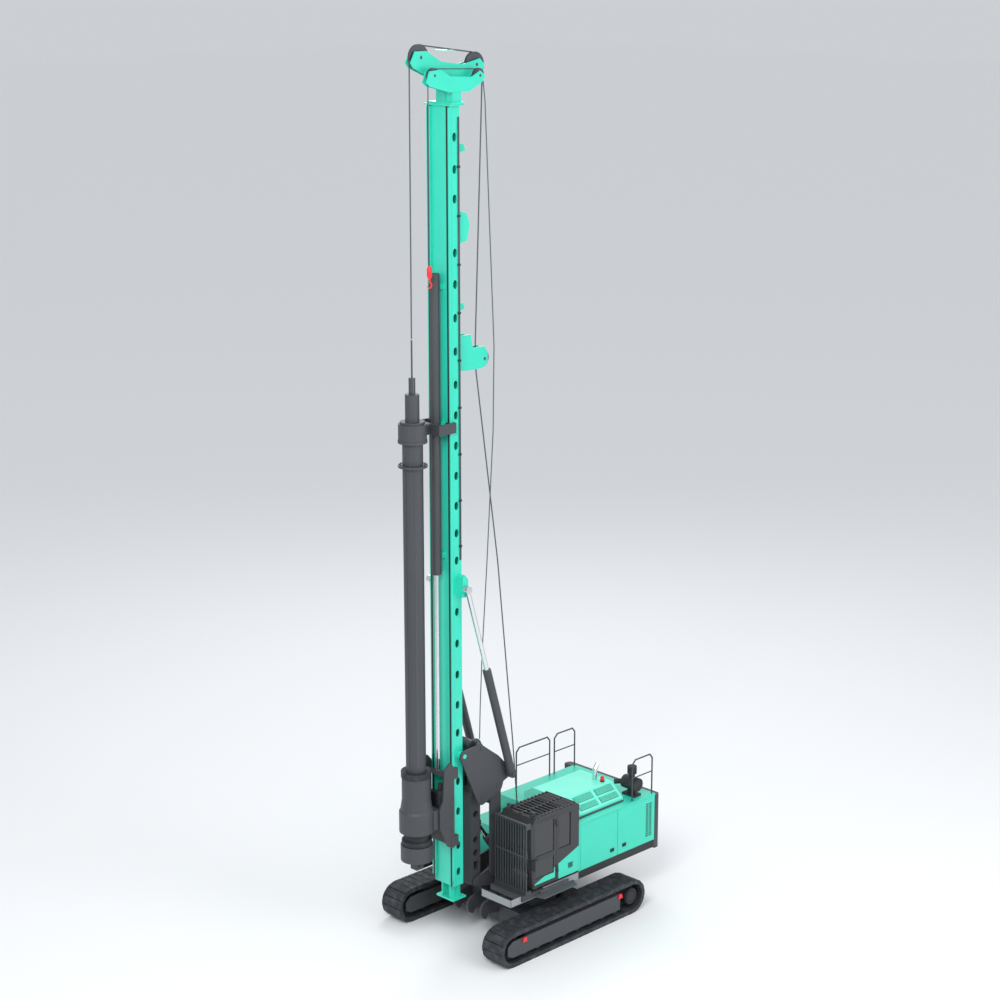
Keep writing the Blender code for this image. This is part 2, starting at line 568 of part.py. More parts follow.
def build_cab(slew):
    """Hollow cab with its windows cut, a door, a seat and the bars in front of the windscreen."""
    x_low, x_high = CAB_X
    y_low, y_high = CAB_Y
    wall = CAB_WALL
    side = [(y_low + 0.06, CAB_BOTTOM), (y_high, CAB_BOTTOM), (y_high, CAB_TOP - 0.04),
            (y_high - 0.06, CAB_TOP), (y_low + 0.12, CAB_TOP), (y_low, CAB_TOP - 0.16), (y_low, 2.0)]
    inside = [(y_low + 0.06 + wall, CAB_BOTTOM + wall), (y_high - wall, CAB_BOTTOM + wall),
              (y_high - wall, CAB_TOP - wall), (y_low + 0.14, CAB_TOP - wall),
              (y_low + wall, CAB_TOP - 0.18), (y_low + wall, 2.0)]
    mounts = [block((x, x + 0.1), (y, y + 0.1), (DECK_TOP + FIT, CAB_BOTTOM + 0.01))
              for x in (x_low + 0.04, x_high - 0.16) for y in (-0.80, 0.38)]
    door_y = (CAB_DOOR_Y[0] - DOOR_GAP, CAB_DOOR_Y[1] + DOOR_GAP)
    door_z = (CAB_DOOR_Z[0] - DOOR_GAP, CAB_DOOR_Z[1] + DOOR_GAP)
    cuts = [prism("X", x_low + wall, x_high - wall, inside),
            block((x_high - 0.1, x_high + 0.1), door_y, door_z),
            block((x_high - 0.1, x_high + 0.1), (-0.09, 0.28), (2.08, 2.87)),
            block((x_low + 0.10, x_high - 0.10), (y_low - 0.1, y_low + 0.2), (1.60, 2.78)),
            block((x_low - 0.1, x_low + 0.1), (-0.85, -0.05), (1.75, 2.85)),
            block((x_low + 0.12, x_high - 0.12), (y_high - 0.1, y_high + 0.1), (2.50, 2.86)),
            block((x_low + 0.15, x_high - 0.15), (-0.75, 0.10), (CAB_TOP - 0.1, CAB_TOP + 0.1))]
    x_axis = x_high + 0.016
    for z in (1.62, 2.70):
        mounts.append(block((x_high - 0.01, x_axis + 0.004), (CAB_DOOR_Y[1] + 0.002, CAB_DOOR_Y[1] + 0.06),
                            (z - 0.06, z - FIT)))
        mounts.append(disc("Z", (x_axis, CAB_DOOR_Y[1] - 0.005), 0.012, z - 0.06, z - FIT, SMALL_SIDES))
    fuse("cab_shell", "cab_paint", slew, [prism("X", x_low, x_high, side)] + mounts, cuts)
    leaf = [(CAB_DOOR_Y[0], CAB_DOOR_Z[0]), (CAB_DOOR_Y[1], CAB_DOOR_Z[0]),
            (CAB_DOOR_Y[1], CAB_DOOR_Z[1]), (CAB_DOOR_Y[0], CAB_DOOR_Z[1])]
    windows = [block((x_high - 0.1, x_high + 0.1), (CAB_DOOR_Y[0] + 0.05, CAB_DOOR_Y[1] - 0.08), z)
               for z in ((1.58, 1.98), (2.10, 2.86))]
    ears = [block((x_high - 0.02, x_axis), (CAB_DOOR_Y[1] - 0.04, CAB_DOOR_Y[1]), (z, z + 0.1))
            for z in (1.62, 2.70)]
    pins = [disc("Z", (x_axis, CAB_DOOR_Y[1] - 0.005), 0.014, z, z + 0.1, SMALL_SIDES) for z in (1.62, 2.70)]
    axis = hanger("cab_door_axis", (x_axis, CAB_DOOR_Y[1] - 0.005, CAB_DOOR_Z[0]), slew)
    fuse("cab_door", "cab_paint", axis,
         [prism("X", x_high - DOOR_THICKNESS, x_high, leaf)] + ears + pins, windows)
    seat = [block((0.78, 1.24), (-0.20, 0.28), (1.72, 1.86)), block((0.80, 1.22), (0.20, 0.34), (1.80, 2.48)),
            block((0.86, 1.16), (-0.10, 0.22), (CAB_BOTTOM + wall + FIT, 1.74)),
            block((0.66, 0.76), (-0.30, 0.20), (CAB_BOTTOM + wall + FIT, 1.96)),
            block((1.26, 1.36), (-0.30, 0.20), (CAB_BOTTOM + wall + FIT, 1.96)),
            block((0.66, 1.36), (-0.02, 0.16), (CAB_BOTTOM + wall + FIT, 1.50))]
    fuse("operator_seat", "rubber", slew, seat)
    guard_y = (y_low - 0.16, y_low - 0.12)
    guard = [block((x_low, x_high), (guard_y[0], guard_y[1]), (z, z + 0.04)) for z in (1.34, 2.16, 2.92)]
    bars = 13
    for i in range(bars):
        x = x_low + (x_high - x_low - 0.03) * i / (bars - 1)
        guard.append(block((x, x + 0.03), (guard_y[0] + 0.008, guard_y[1] - 0.008), (1.35, 2.95)))
    for z in (1.34, 2.92):
        for x in (x_low, x_high - 0.04):
            low = max(z - 0.1, DECK_TOP + FIT)
            guard.append(block((x, x + 0.04), (guard_y[1] - 0.01, y_low - FIT), (low, z + 0.02)))
    guard.append(block((x_low, x_high), (guard_y[0], guard_y[1]), (DECK_TOP + FIT, 1.36)))
    fuse("cab_guard", "dark_paint", slew, guard)


def build_deck_pieces(slew):
    """Winch drum, air cleaner and handrails on the deck and house."""
    axis = hanger("main_winch_axis", (0, *MAIN_WINCH), slew)
    drum = [disc("X", MAIN_WINCH, 0.20, -0.38, 0.38), disc("X", MAIN_WINCH, PIN_RADIUS, -0.425, 0.425)]
    drum += [disc("X", MAIN_WINCH, 0.27, *sorted((side * 0.36, side * 0.385))) for side in (-1, 1)]
    fuse("main_winch_drum", "machined_steel", axis, drum)
    top = HOUSE_TOP + FIT
    cleaner = [block((0.92, 1.30), (2.62, 2.86), (top, top + 0.05)), disc("X", (2.74, 2.74), 0.16, 0.90, 1.32, 16),
               block((1.04, 1.18), (2.68, 2.80), (top + 0.02, 2.70)),
               disc("Z", (1.12, 2.74), 0.07, 2.80, 3.00, 16), disc("Z", (1.12, 2.74), 0.11, 2.98, 3.16, 16),
               rod((0.92, 2.74, 2.74), (0.70, 2.60, 2.70), 0.06, 12)]
    fuse("air_cleaner", "iron", slew, cleaner)
    hoops = (  # name, x, front y, rear y, foot z
        ("handrail_left_rear", 1.38, 2.46, 3.14, HOUSE_TOP),
        ("handrail_right_front", -1.06, 1.14, 2.26, HOUSE_TOP),
        ("handrail_right_rear", -1.06, 2.42, 3.12, HOUSE_TOP),
    )
    for name, x, front, rear, foot in hoops:
        high = foot + 0.98
        line = [(x, front, foot + FIT), (x, front, high - 0.10), (x, front + 0.10, high),
                (x, rear - 0.08, high), (x, rear, high - 0.10), (x, rear, foot + FIT)]
        middle = [(x, front - 0.004, foot + 0.55), (x, rear + 0.004, foot + 0.55)]
        fuse(name, "dark_paint", slew, [bent_bar(line, RAIL_RADIUS), bent_bar(middle, RAIL_RADIUS * 0.8)])


# ================================================================ linkage that carries the mast
def build_linkage(slew):
    """Arm, link and triangle of the parallelogram, with the luffing and tilt cylinders."""
    arm_axis = hanger("arm_axis", (0, *ARM_FOOT), slew)
    top = (ARM_FOOT[0], ARM_FOOT[1] + ARM_LENGTH)
    outline = arc(ARM_FOOT, 0.14, 180, 360, 8) + arc(top, 0.14, 0, 180, 8)
    holes = [disc("X", (-1.45, z), 0.08, -0.3, 0.3, 16) for z in (2.02, 2.33, 2.94)]
    holes.append(block((-0.3, 0.3), (-1.52, -1.38), (1.62, 1.82)))
    arm = [prism("X", -ARM_HALF, ARM_HALF, outline)]
    for side in (-1, 1):
        arm.append(pin_bar(side, ARM_HALF - WELD, LUG_X[1] + 0.005, ARM_FOOT))
        arm.append(pin_bar(side, ARM_HALF - WELD, TRIANGLE_X[1] + 0.008, top))
        ear = [(-1.33, 2.44), (-1.33, 2.78)] + arc((-1.22, 2.62), 0.07, 60, -60, 4)
        arm.append(plate(side, 0.075, 0.11, ear))
    fuse("luffing_arm", "dark_paint", arm_axis, arm, holes)
    link_axis = hanger("link_axis", (0, *LINK_FOOT), slew)
    link_top = (LINK_FOOT[0], LINK_FOOT[1] + ARM_LENGTH)
    sides = []
    for side in (-1, 1):
        bar = arc(LINK_FOOT, 0.16, 180, 360, 6) + arc(link_top, 0.16, 0, 180, 6)
        sides.append(plate(side, *LINK_X, bar))
        sides.append(pin_bar(side, LUG_X[0] - 0.005, LINK_X[1], LINK_FOOT))
        sides.append(pin_bar(side, LINK_X[0], TRIANGLE_X[1] + 0.008, link_top))
    sides.append(disc("X", (LINK_FOOT[0], 3.12), 0.07, -0.37, 0.37, 16))
    fuse("support_link", "dark_paint", link_axis, sides)
    triangle_axis = hanger("triangle_axis", (0, *top), arm_axis)
    shape = arc(MAST_PIVOT, 0.12, 90, 230, 6) + arc(top, 0.14, 190, 300, 4)
    shape += arc(link_top, 0.14, 270, 340, 3) + [(-0.80, 3.60)] + arc(TILT_FOOT, 0.12, -80, 70, 5)
    shape += [(-0.96, 4.25)] + arc(AUX_WINCH, 0.13, 20, 140, 4)
    solids, cuts = [], []
    for side in (-1, 1):
        solids.append(plate(side, *TRIANGLE_X, shape))
        for pin in (MAST_PIVOT, top, link_top, AUX_WINCH):
            cuts.append(pin_cut(side, *TRIANGLE_X, pin))
        solids.append(pin_bar(side, TRIANGLE_X[1] - WELD, TILT_X + TILT_EYE_HALF + 0.02, TILT_FOOT))
    solids.append(disc("X", (-1.34, 4.04), 0.10, -0.44, 0.44, 16))
    fuse("mast_triangle", "dark_paint", triangle_axis, solids, cuts)
    drum_axis = hanger("aux_winch_axis", (0, *AUX_WINCH), triangle_axis)
    drum = [disc("X", AUX_WINCH, 0.14, -0.32, 0.32),
            disc("X", AUX_WINCH, PIN_RADIUS, -0.45, 0.45)]
    drum += [disc("X", AUX_WINCH, 0.20, *sorted((side * 0.30, side * 0.33))) for side in (-1, 1)]
    fuse("aux_winch_drum", "machined_steel", drum_axis, drum)
    build_cylinder("luffing", 0, LUFF_FOOT, LUFF_HEAD, LUFF_BARREL, LUFF_ROD, 0.80, 0.07, slew)
    for side, word in ((1, "left"), (-1, "right")):
        build_cylinder(f"tilt_{word}", side * TILT_X, TILT_FOOT, TILT_HEAD, TILT_BARREL, TILT_ROD, 2.70,
                       TILT_EYE_HALF, triangle_axis)


def build_cylinder(name, x, foot, head, barrel, piston, length, eye_half, parent):
    """Barrel turning on its foot pin, and a rod that slides in it."""
    run = Vector((0, head[0] - foot[0], head[1] - foot[1]))
    reach = run.length
    along = run.normalized()
    start = Vector((x, *foot))
    barrel_axis = hanger(name + "_barrel_axis", start, parent)
    inner = 0.22
    body = [disc("X", foot, 0.10, x - eye_half, x + eye_half),
            rod(start + along * 0.06, start + along * length, barrel, 16)]
    hollow = [disc("X", foot, bore(PIN_RADIUS), x - 0.2, x + 0.2),
              rod(start + along * inner, start + along * (length + 0.1), piston + FIT, 16)]
    if name == "luffing":
        body += [pin_bar(side, eye_half - WELD, 0.125, foot) for side in (-1, 1)]
        hollow = hollow[1:]
    fuse(name + "_cylinder_barrel", "dark_paint", barrel_axis, body, hollow)
    rod_axis = hanger(name + "_rod_axis", Vector((x, *head)), barrel_axis)
    stem = [rod(start + along * (length * 0.42), start + along * (reach - 0.05), piston, 16),
            disc("X", head, 0.085, x - eye_half, x + eye_half)]
    fuse(name + "_cylinder_rod", "chrome", rod_axis, stem)


# ================================================================ mast
def mast_lugs():
    """Side outlines of the brackets on the mast's back: (half width, thickness, outline)."""
    back = MAST_REAR - WELD
    return (
        (0.20, 0.04, [(back, 15.60), (back, 16.30), (-1.62, 16.22), (-1.54, 15.98), (-1.62, 15.66)]),
        (0.10, 0.03, [(back, 17.45), (back, 17.66), (-1.60, 17.62), (-1.56, 17.48)]),
        (0.10, 0.03, [(back, 14.18), (back, 14.38), (-1.62, 14.34), (-1.60, 14.22)]),
        (0.10, 0.03, [(back, 12.95), (back, 13.66), (-1.42, 13.66), (-1.36, 13.36), (-1.02, 13.36),
                      (-0.92, 13.20), (-0.92, 12.98), (-1.10, 12.90), (-1.50, 12.90)]),
    )


def build_mast(triangle_axis):
    """Hollow mast with its rails, foot, sheave head and the sheaves."""
    mast_axis = hanger("mast_axis", (0, *MAST_PIVOT), triangle_axis)
    half = MAST_HALF
    solids = [block((-half, half), (MAST_FRONT, MAST_REAR), (MAST_BOTTOM, MAST_TOP))]
    cuts = [block((MAST_WALL - half, half - MAST_WALL), (MAST_FRONT + MAST_WALL, MAST_REAR - MAST_WALL),
                  (MAST_BOTTOM + MAST_WALL, MAST_TOP - MAST_WALL))]
    for side in (-1, 1):
        rail = sorted((side * RAIL_INNER, side * RAIL_HALF))
        solids.append(block(rail, (MAST_FRONT - RAIL_DEPTH, MAST_FRONT + WELD), (1.60, MAST_TOP - 0.06)))
        solids.append(disc("X", MAST_PIVOT, 0.085, side * (half - WELD), side * (TRIANGLE_X[0] - 0.012)))
        solids.append(pin_bar(side, TRIANGLE_X[0] - 0.02, TRIANGLE_X[1] + 0.008, MAST_PIVOT))
        lug = [(-2.06, 8.12), (-1.90, 8.12), (-1.90, 8.50), (-1.98, 8.60), (-2.06, 8.56)]
        solids.append(plate(side, half - WELD, TILT_X - TILT_EYE_HALF - RUNNING, lug))
        for middle, thick, outline in mast_lugs():
            solids.append(plate(side, middle - thick / 2, middle + thick / 2, outline))
        cuts.append(pin_cut(side, 0.085, 0.115, DEFLECTION_SHEAVE, 0.035))
    for z in (8.95, 11.80, 14.70):
        solids.append(block((-0.09, 0.09), (CROWD_Y + CROWD_BARREL * 0.9, MAST_FRONT + WELD), (z, z + 0.12)))
        cuts.append(disc("Z", (0, CROWD_Y), (CROWD_BARREL + FIT), z - 0.1, z + 0.2, SIDES))
    flange = block((-0.38, 0.38), (MAST_FRONT - 0.06, MAST_REAR + 0.07), (MAST_TOP - 0.03, MAST_TOP))
    solids.append(flange)
    centre = (MAST_FRONT + MAST_REAR) / 2
    lift = (HOLE_HEIGHT - HOLE_WIDTH) / 2
    for z in (1.78, 2.40, 3.20, 3.90, 5.02, 5.66, 6.35, 7.05, 7.76, 8.90, 9.50, 10.10, 10.75, 11.40, 12.05,
              12.70, 13.40, 14.10, 14.80, 15.45, 16.55, 17.15, 17.80):
        hole = (arc((centre, z - lift), HOLE_WIDTH / 2, 180, 360, 3)
                + arc((centre, z + lift), HOLE_WIDTH / 2, 0, 180, 3))
        cuts.append(prism("X", -0.5, 0.5, hole))
    fuse("mast", "green_paint", mast_axis, solids, cuts)
    foot_x, foot_y = FOOT_SIZE
    y = centre + 0.06
    foot = [block((-foot_x / 2, foot_x / 2), (y - foot_y / 2, y + foot_y / 2), FOOT_Z),
            block((-0.20, 0.20), (y - 0.015, y + 0.015), (FOOT_Z[1] - WELD, MAST_BOTTOM - FIT)),
            block((-0.14, -0.11), (y - 0.16, y + 0.14), (FOOT_Z[1] - WELD, MAST_BOTTOM - FIT)),
            block((0.11, 0.14), (y - 0.16, y + 0.14), (FOOT_Z[1] - WELD, MAST_BOTTOM - FIT))]
    fuse("mast_foot", "green_paint", mast_axis, foot)
    barrel = disc("Z", (0, CROWD_Y), CROWD_BARREL, *CROWD_Z)
    fuse("crowd_cylinder_barrel", "dark_paint", mast_axis, [barrel],
         [disc("Z", (0, CROWD_Y), CROWD_ROD + FIT, CROWD_Z[0] - 0.1, CROWD_Z[1] - 0.15, 16)])
    build_mast_head(mast_axis)
    sheave("deflection_sheave", 0, DEFLECTION_SHEAVE, DEFLECTION_RADIUS, 0.11, mast_axis, 0.035)
    return mast_axis


def sheave(name, x, centre, radius, reach, parent, pin=0.035):
    """Grooved wheel with its shaft."""
    axis = hanger(name + "_axis", (x, *centre), parent)
    half = SHEAVE_HALF
    groove = [(0, -half), (radius, -half), (radius, -half * 0.6), (radius - 0.035, 0), (radius, half * 0.6),
              (radius, half), (0, half)]
    fuse(name, "machined_steel", axis,
         [turned_across(x, centre, groove), disc("X", centre, pin, x - reach, x + reach)])


def build_mast_head(mast_axis):
    """Main and auxiliary sheave arms on the mast's top flange."""
    low = MAST_TOP + FIT
    solids = [block((-0.34, 0.40), (MAST_FRONT - 0.02, MAST_REAR + 0.03), (low, low + 0.04)),
              block((-0.13, 0.13), (-2.14, -1.86), (low + 0.03, 18.98)),
              block((0.10, AUX_X + 0.05), (-2.12, -1.88), (low + 0.03, 18.86))]
    main = [(-3.02, 19.30), (-2.90, 19.52), (-2.60, 19.52), (-2.20, 19.30), (-1.60, 19.22), (-1.10, 19.32),
            (-0.98, 19.20), (-1.05, 19.06), (-1.55, 18.94), (-2.35, 18.94), (-2.95, 19.20)]
    aux = [(-2.85, 18.92), (-2.76, 19.14), (-2.46, 19.16), (-2.20, 19.02), (-1.60, 18.98), (-1.36, 19.10),
           (-1.22, 19.00), (-1.28, 18.88), (-1.66, 18.70), (-2.22, 18.70), (-2.75, 18.84)]
    cuts = []
    for side in (-1, 1):
        near = 0.06
        solids.append(plate(side, near, near + 0.03, main))
        for centre in (MAIN_FRONT_SHEAVE, MAIN_REAR_SHEAVE):
            cuts.append(pin_cut(side, near, near + 0.03, centre, 0.035))
        edge = sorted((AUX_X + side * 0.045, AUX_X + side * 0.07))
        solids.append(prism("X", *edge, aux))
        for centre in (AUX_FRONT_SHEAVE, AUX_REAR_SHEAVE):
            cuts.append(disc("X", centre, bore(0.03), edge[0] - 0.01, edge[1] + 0.01))
    fuse("mast_head", "green_paint", mast_axis, solids, cuts)
    sheave("main_front_sheave", 0, MAIN_FRONT_SHEAVE, SHEAVE_RADIUS, 0.088, mast_axis)
    sheave("main_rear_sheave", 0, MAIN_REAR_SHEAVE, SHEAVE_RADIUS, 0.088, mast_axis)
    sheave("aux_front_sheave", AUX_X, AUX_FRONT_SHEAVE, AUX_SHEAVE_RADIUS, 0.068, mast_axis, 0.03)
    sheave("aux_rear_sheave", AUX_X, AUX_REAR_SHEAVE, AUX_SHEAVE_RADIUS, 0.068, mast_axis, 0.03)


# ================================================================ rotary head and kelly
def build_head(mast_axis):
    """Head on the mast's rails, its turning sleeve, motors and the crowd rod."""
    head_axis = hanger("rotary_head_axis", (0, CROWD_Y, CROWD_EYE_Z), mast_axis)
    back = MAST_FRONT - RAIL_DEPTH - FIT
    solids = [block((-0.385, 0.385), (back - 0.10, back), (2.50, 3.60)),
              block((-0.385, 0.385), (GEARBOX_BACK, back - 0.09), (2.98, 3.10))]
    for side in (-1, 1):
        cheek = [(back, 2.42), (back, 4.30), (-2.34, 4.42), (-2.52, 4.30), (-2.56, 3.60), (-2.66, 3.42),
                 (-2.66, 2.98), (-2.42, 2.50)]
        solids.append(plate(side, RAIL_HALF + 0.008, RAIL_HALF + 0.05, cheek))
        for z in (2.46, 4.02):
            wrap = plate(side, RAIL_HALF + 0.008, RAIL_HALF + 0.05,
                         [(back - WELD, z), (back - WELD, z + 0.24), (-2.11, z + 0.24), (-2.11, z)])
            hook = plate(side, MAST_HALF + 0.008, RAIL_HALF + 0.012,
                         [(-2.17, z), (-2.17, z + 0.24), (-2.11, z + 0.24), (-2.11, z)])
            solids += [wrap, hook]
    solids.append(block((-0.35, 0.35), (CROWD_Y - 0.04, CROWD_Y + 0.04), (4.06, 4.16)))
    fuse("rotary_head_frame", "dark_paint", head_axis, solids)
    hole = bore(SLEEVE)
    case = [(hole, 2.95), (GEARBOX_RADIUS, 2.95), (GEARBOX_RADIUS, 3.42), (0.35, 3.46), (0.315, 3.70), (0.315, 4.20), (hole, 4.20)]
    rear = block((-RAIL_HALF, RAIL_HALF), (-2.80, GEARBOX_BACK - FIT), (2.97, 3.42))
    fuse("rotary_head_gearbox", "dark_paint", head_axis, [turned((0, KELLY_Y), case), rear],
         [disc("Z", (0, KELLY_Y), hole, 2.9, 3.5)])
    for side, word in ((1, "left"), (-1, "right")):
        spot = (side * 0.20, -2.48)
        fuse(f"head_motor_{word}", "iron", head_axis,
             [disc("Z", spot, 0.085, 3.10 + FIT, 3.80, 16),
              disc("Z", spot, 0.055, 3.79, 3.95, 16)])
    fuse("crowd_cylinder_rod", "chrome", head_axis,
         [disc("Z", (0, CROWD_Y), CROWD_ROD, 4.16 + FIT, CROWD_ROD_TOP, 16)])
    sleeve_axis = hanger("kelly_drive_axis", (0, KELLY_Y, 3.0), head_axis)
    inner = KELLY_OUTER + RUNNING
    sleeve = [(inner, HEAD_BOTTOM), (0.33, HEAD_BOTTOM), (0.33, 2.76), (SLEEVE, 2.78), (SLEEVE, 4.20 + FIT),
              (HEAD_RING, 4.20 + FIT), (HEAD_RING, HEAD_TOP), (inner, HEAD_TOP)]
    fuse("kelly_drive", "iron", sleeve_axis, [turned((0, KELLY_Y), sleeve)])
    build_kelly(head_axis)


def build_kelly(head_axis):
    """Kelly guide on the rails, outer and inner kelly tubes, and the rope swivel."""
    guide_axis = hanger("kelly_guide_axis", (0, KELLY_Y, GUIDE_Z[0]), head_axis)
    low, high = GUIDE_Z
    back = MAST_FRONT - RAIL_DEPTH - FIT
    hole = bore(KELLY_NECK)
    ring = [(hole, low), (0.30, low), (0.30, high), (hole, high)]
    solids = [turned((0, KELLY_Y), ring), block((-0.10, 0.10), (-2.74, -2.55), (low + 0.06, high - 0.06)),
              block((-0.385, 0.385), (-2.60, -2.50), (low + 0.06, high - 0.06))]
    for side in (-1, 1):
        solids.append(plate(side, RAIL_HALF + 0.008, 0.385, [(-2.56, low + 0.06), (-2.56, high - 0.06),
                                                             (-2.11, high - 0.06), (-2.11, low + 0.06)]))
        solids.append(plate(side, MAST_HALF + 0.008, RAIL_HALF + 0.012,
                            [(-2.17, low + 0.06), (-2.17, high - 0.06), (-2.11, high - 0.06),
                             (-2.11, low + 0.06)]))
        solids.append(plate(side, RAIL_INNER, RAIL_HALF + 0.012,
                            [(back - 0.04, low + 0.06), (back - 0.04, high - 0.06), (back, high - 0.06),
                             (back, low + 0.06)]))
    fuse("kelly_guide", "dark_paint", guide_axis, solids)
    outer_axis = hanger("kelly_outer_axis", (0, KELLY_Y, low), guide_axis)
    inside = KELLY_INNER + FIT
    tube = [(inside, HEAD_BOTTOM), (KELLY_OUTER, HEAD_BOTTOM), (KELLY_OUTER, 11.06), (0.31, 11.06),
            (0.31, 11.11), (KELLY_OUTER, 11.11), (KELLY_OUTER, 11.58), (0.31, 11.58), (0.31, low - FIT),
            (KELLY_NECK, low - FIT), (KELLY_NECK, high + FIT), (0.26, high + FIT), (0.26, high + 0.05),
            (inside, high + 0.05)]
    fuse("kelly_outer_tube", "dark_paint", outer_axis, [turned((0, KELLY_Y), tube)])
    inner_axis = hanger("kelly_inner_axis", (0, KELLY_Y, KELLY_BOTTOM), outer_axis)
    core = [(0, 2.29), (0.355, 2.29), (0.355, HEAD_BOTTOM - 0.012), (KELLY_INNER, HEAD_BOTTOM - 0.012),
            (KELLY_INNER, SWIVEL_Z), (0, SWIVEL_Z)]
    stub = STUB_WIDTH / 2
    fuse("kelly_inner_bar", "dark_paint", inner_axis,
         [turned((0, KELLY_Y), core),
          block((-stub, stub), (KELLY_Y - stub, KELLY_Y + stub), (KELLY_BOTTOM, 2.30))])
    swivel_axis = hanger("rope_swivel_axis", (0, KELLY_Y, SWIVEL_Z), inner_axis)
    fuse("rope_swivel", "machined_steel", swivel_axis,
         [disc("Z", (0, KELLY_Y), 0.07, SWIVEL_Z + FIT, 12.95, 16),
          disc("Z", (0, KELLY_Y), 0.018, 12.94, WIRE_TOP, 8)])


def clear_scene():
    """Remove what the scene starts with."""
    for obj in list(bpy.data.objects):
        bpy.data.objects.remove(obj, do_unlink=True)


def main():
    clear_scene()
    build_undercarriage()
    slew = hanger("slew_axis", (0, 0, RING_TOP))
    build_platform(slew)
    build_house(slew)
    build_doors(slew)
    build_cab(slew)
    build_deck_pieces(slew)
    build_linkage(slew)
    triangle_axis = bpy.data.objects["triangle_axis"]
    mast_axis = build_mast(triangle_axis)
    build_head(mast_axis)


main()
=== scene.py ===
"""Rotary piling rig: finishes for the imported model, and the fine pieces that ride on its bodies."""
from __future__ import annotations

import json
import logging
from dataclasses import dataclass
from enum import Enum

import bpy
import numpy as np
from mathutils import Matrix, Vector


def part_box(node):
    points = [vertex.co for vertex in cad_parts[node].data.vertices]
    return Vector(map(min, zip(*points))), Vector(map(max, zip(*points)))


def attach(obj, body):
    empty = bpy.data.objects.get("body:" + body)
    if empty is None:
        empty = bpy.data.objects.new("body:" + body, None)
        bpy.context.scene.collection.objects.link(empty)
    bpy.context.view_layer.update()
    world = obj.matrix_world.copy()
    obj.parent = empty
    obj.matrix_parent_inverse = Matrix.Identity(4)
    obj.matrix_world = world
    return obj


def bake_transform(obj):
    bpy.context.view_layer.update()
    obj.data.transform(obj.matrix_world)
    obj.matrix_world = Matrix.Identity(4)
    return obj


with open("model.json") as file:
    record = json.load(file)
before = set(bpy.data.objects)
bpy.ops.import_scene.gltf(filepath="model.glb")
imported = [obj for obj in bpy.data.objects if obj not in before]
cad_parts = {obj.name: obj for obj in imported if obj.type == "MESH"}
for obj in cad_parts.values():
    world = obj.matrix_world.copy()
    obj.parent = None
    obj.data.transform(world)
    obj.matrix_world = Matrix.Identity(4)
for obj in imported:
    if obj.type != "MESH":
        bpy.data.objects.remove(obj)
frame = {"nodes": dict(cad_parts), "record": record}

LOG = logging.getLogger("piling_rig")
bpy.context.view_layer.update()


class Axis(Enum):
    """The axis an outline is extruded along, with the order of its own two axes."""

    X = (1, 2, 0)
    Y = (0, 2, 1)
    Z = (0, 1, 2)


# ------------------------------------------------------------------ shader maths
class Value:
    """A node socket that takes arithmetic, so shader maths reads as an expression."""

    def __init__(self, tree: "Tree", socket: bpy.types.NodeSocket) -> None:
        """Wrap one output socket of a tree."""
        self.tree, self.socket = tree, socket

    def _math(self, operation: str, first: "Value | float", second: "Value | float") -> "Value":
        """Add a Math node.

        Args:
            operation: the Math node's operation.
            first: its first value.
            second: its second value.

        Returns:
            The result as a Value.
        """
        return self.tree.node("ShaderNodeMath", {"operation": operation}, {0: first, 1: second})

    def __add__(self, other: "Value | float") -> "Value":
        """Sum."""
        return self._math("ADD", self, other)

    def __radd__(self, other: float) -> "Value":
        """Reflected sum."""
        return self._math("ADD", other, self)

    def __sub__(self, other: "Value | float") -> "Value":
        """Difference."""
        return self._math("SUBTRACT", self, other)

    def __rsub__(self, other: float) -> "Value":
        """Reflected difference."""
        return self._math("SUBTRACT", other, self)

    def __mul__(self, other: "Value | float") -> "Value":
        """Product."""
        return self._math("MULTIPLY", self, other)

    def __rmul__(self, other: float) -> "Value":
        """Reflected product."""
        return self._math("MULTIPLY", other, self)

    def above(self, limit: float) -> "Value":
        """One where the value is over the limit."""
        return self._math("GREATER_THAN", self, limit)

    def below(self, limit: float) -> "Value":
        """One where the value is under the limit."""
        return self._math("LESS_THAN", self, limit)

    def clamped(self) -> "Value":
        """The value held between 0 and 1."""
        return self.tree.node("ShaderNodeClamp", {}, {0: self, 1: 0.0, 2: 1.0})


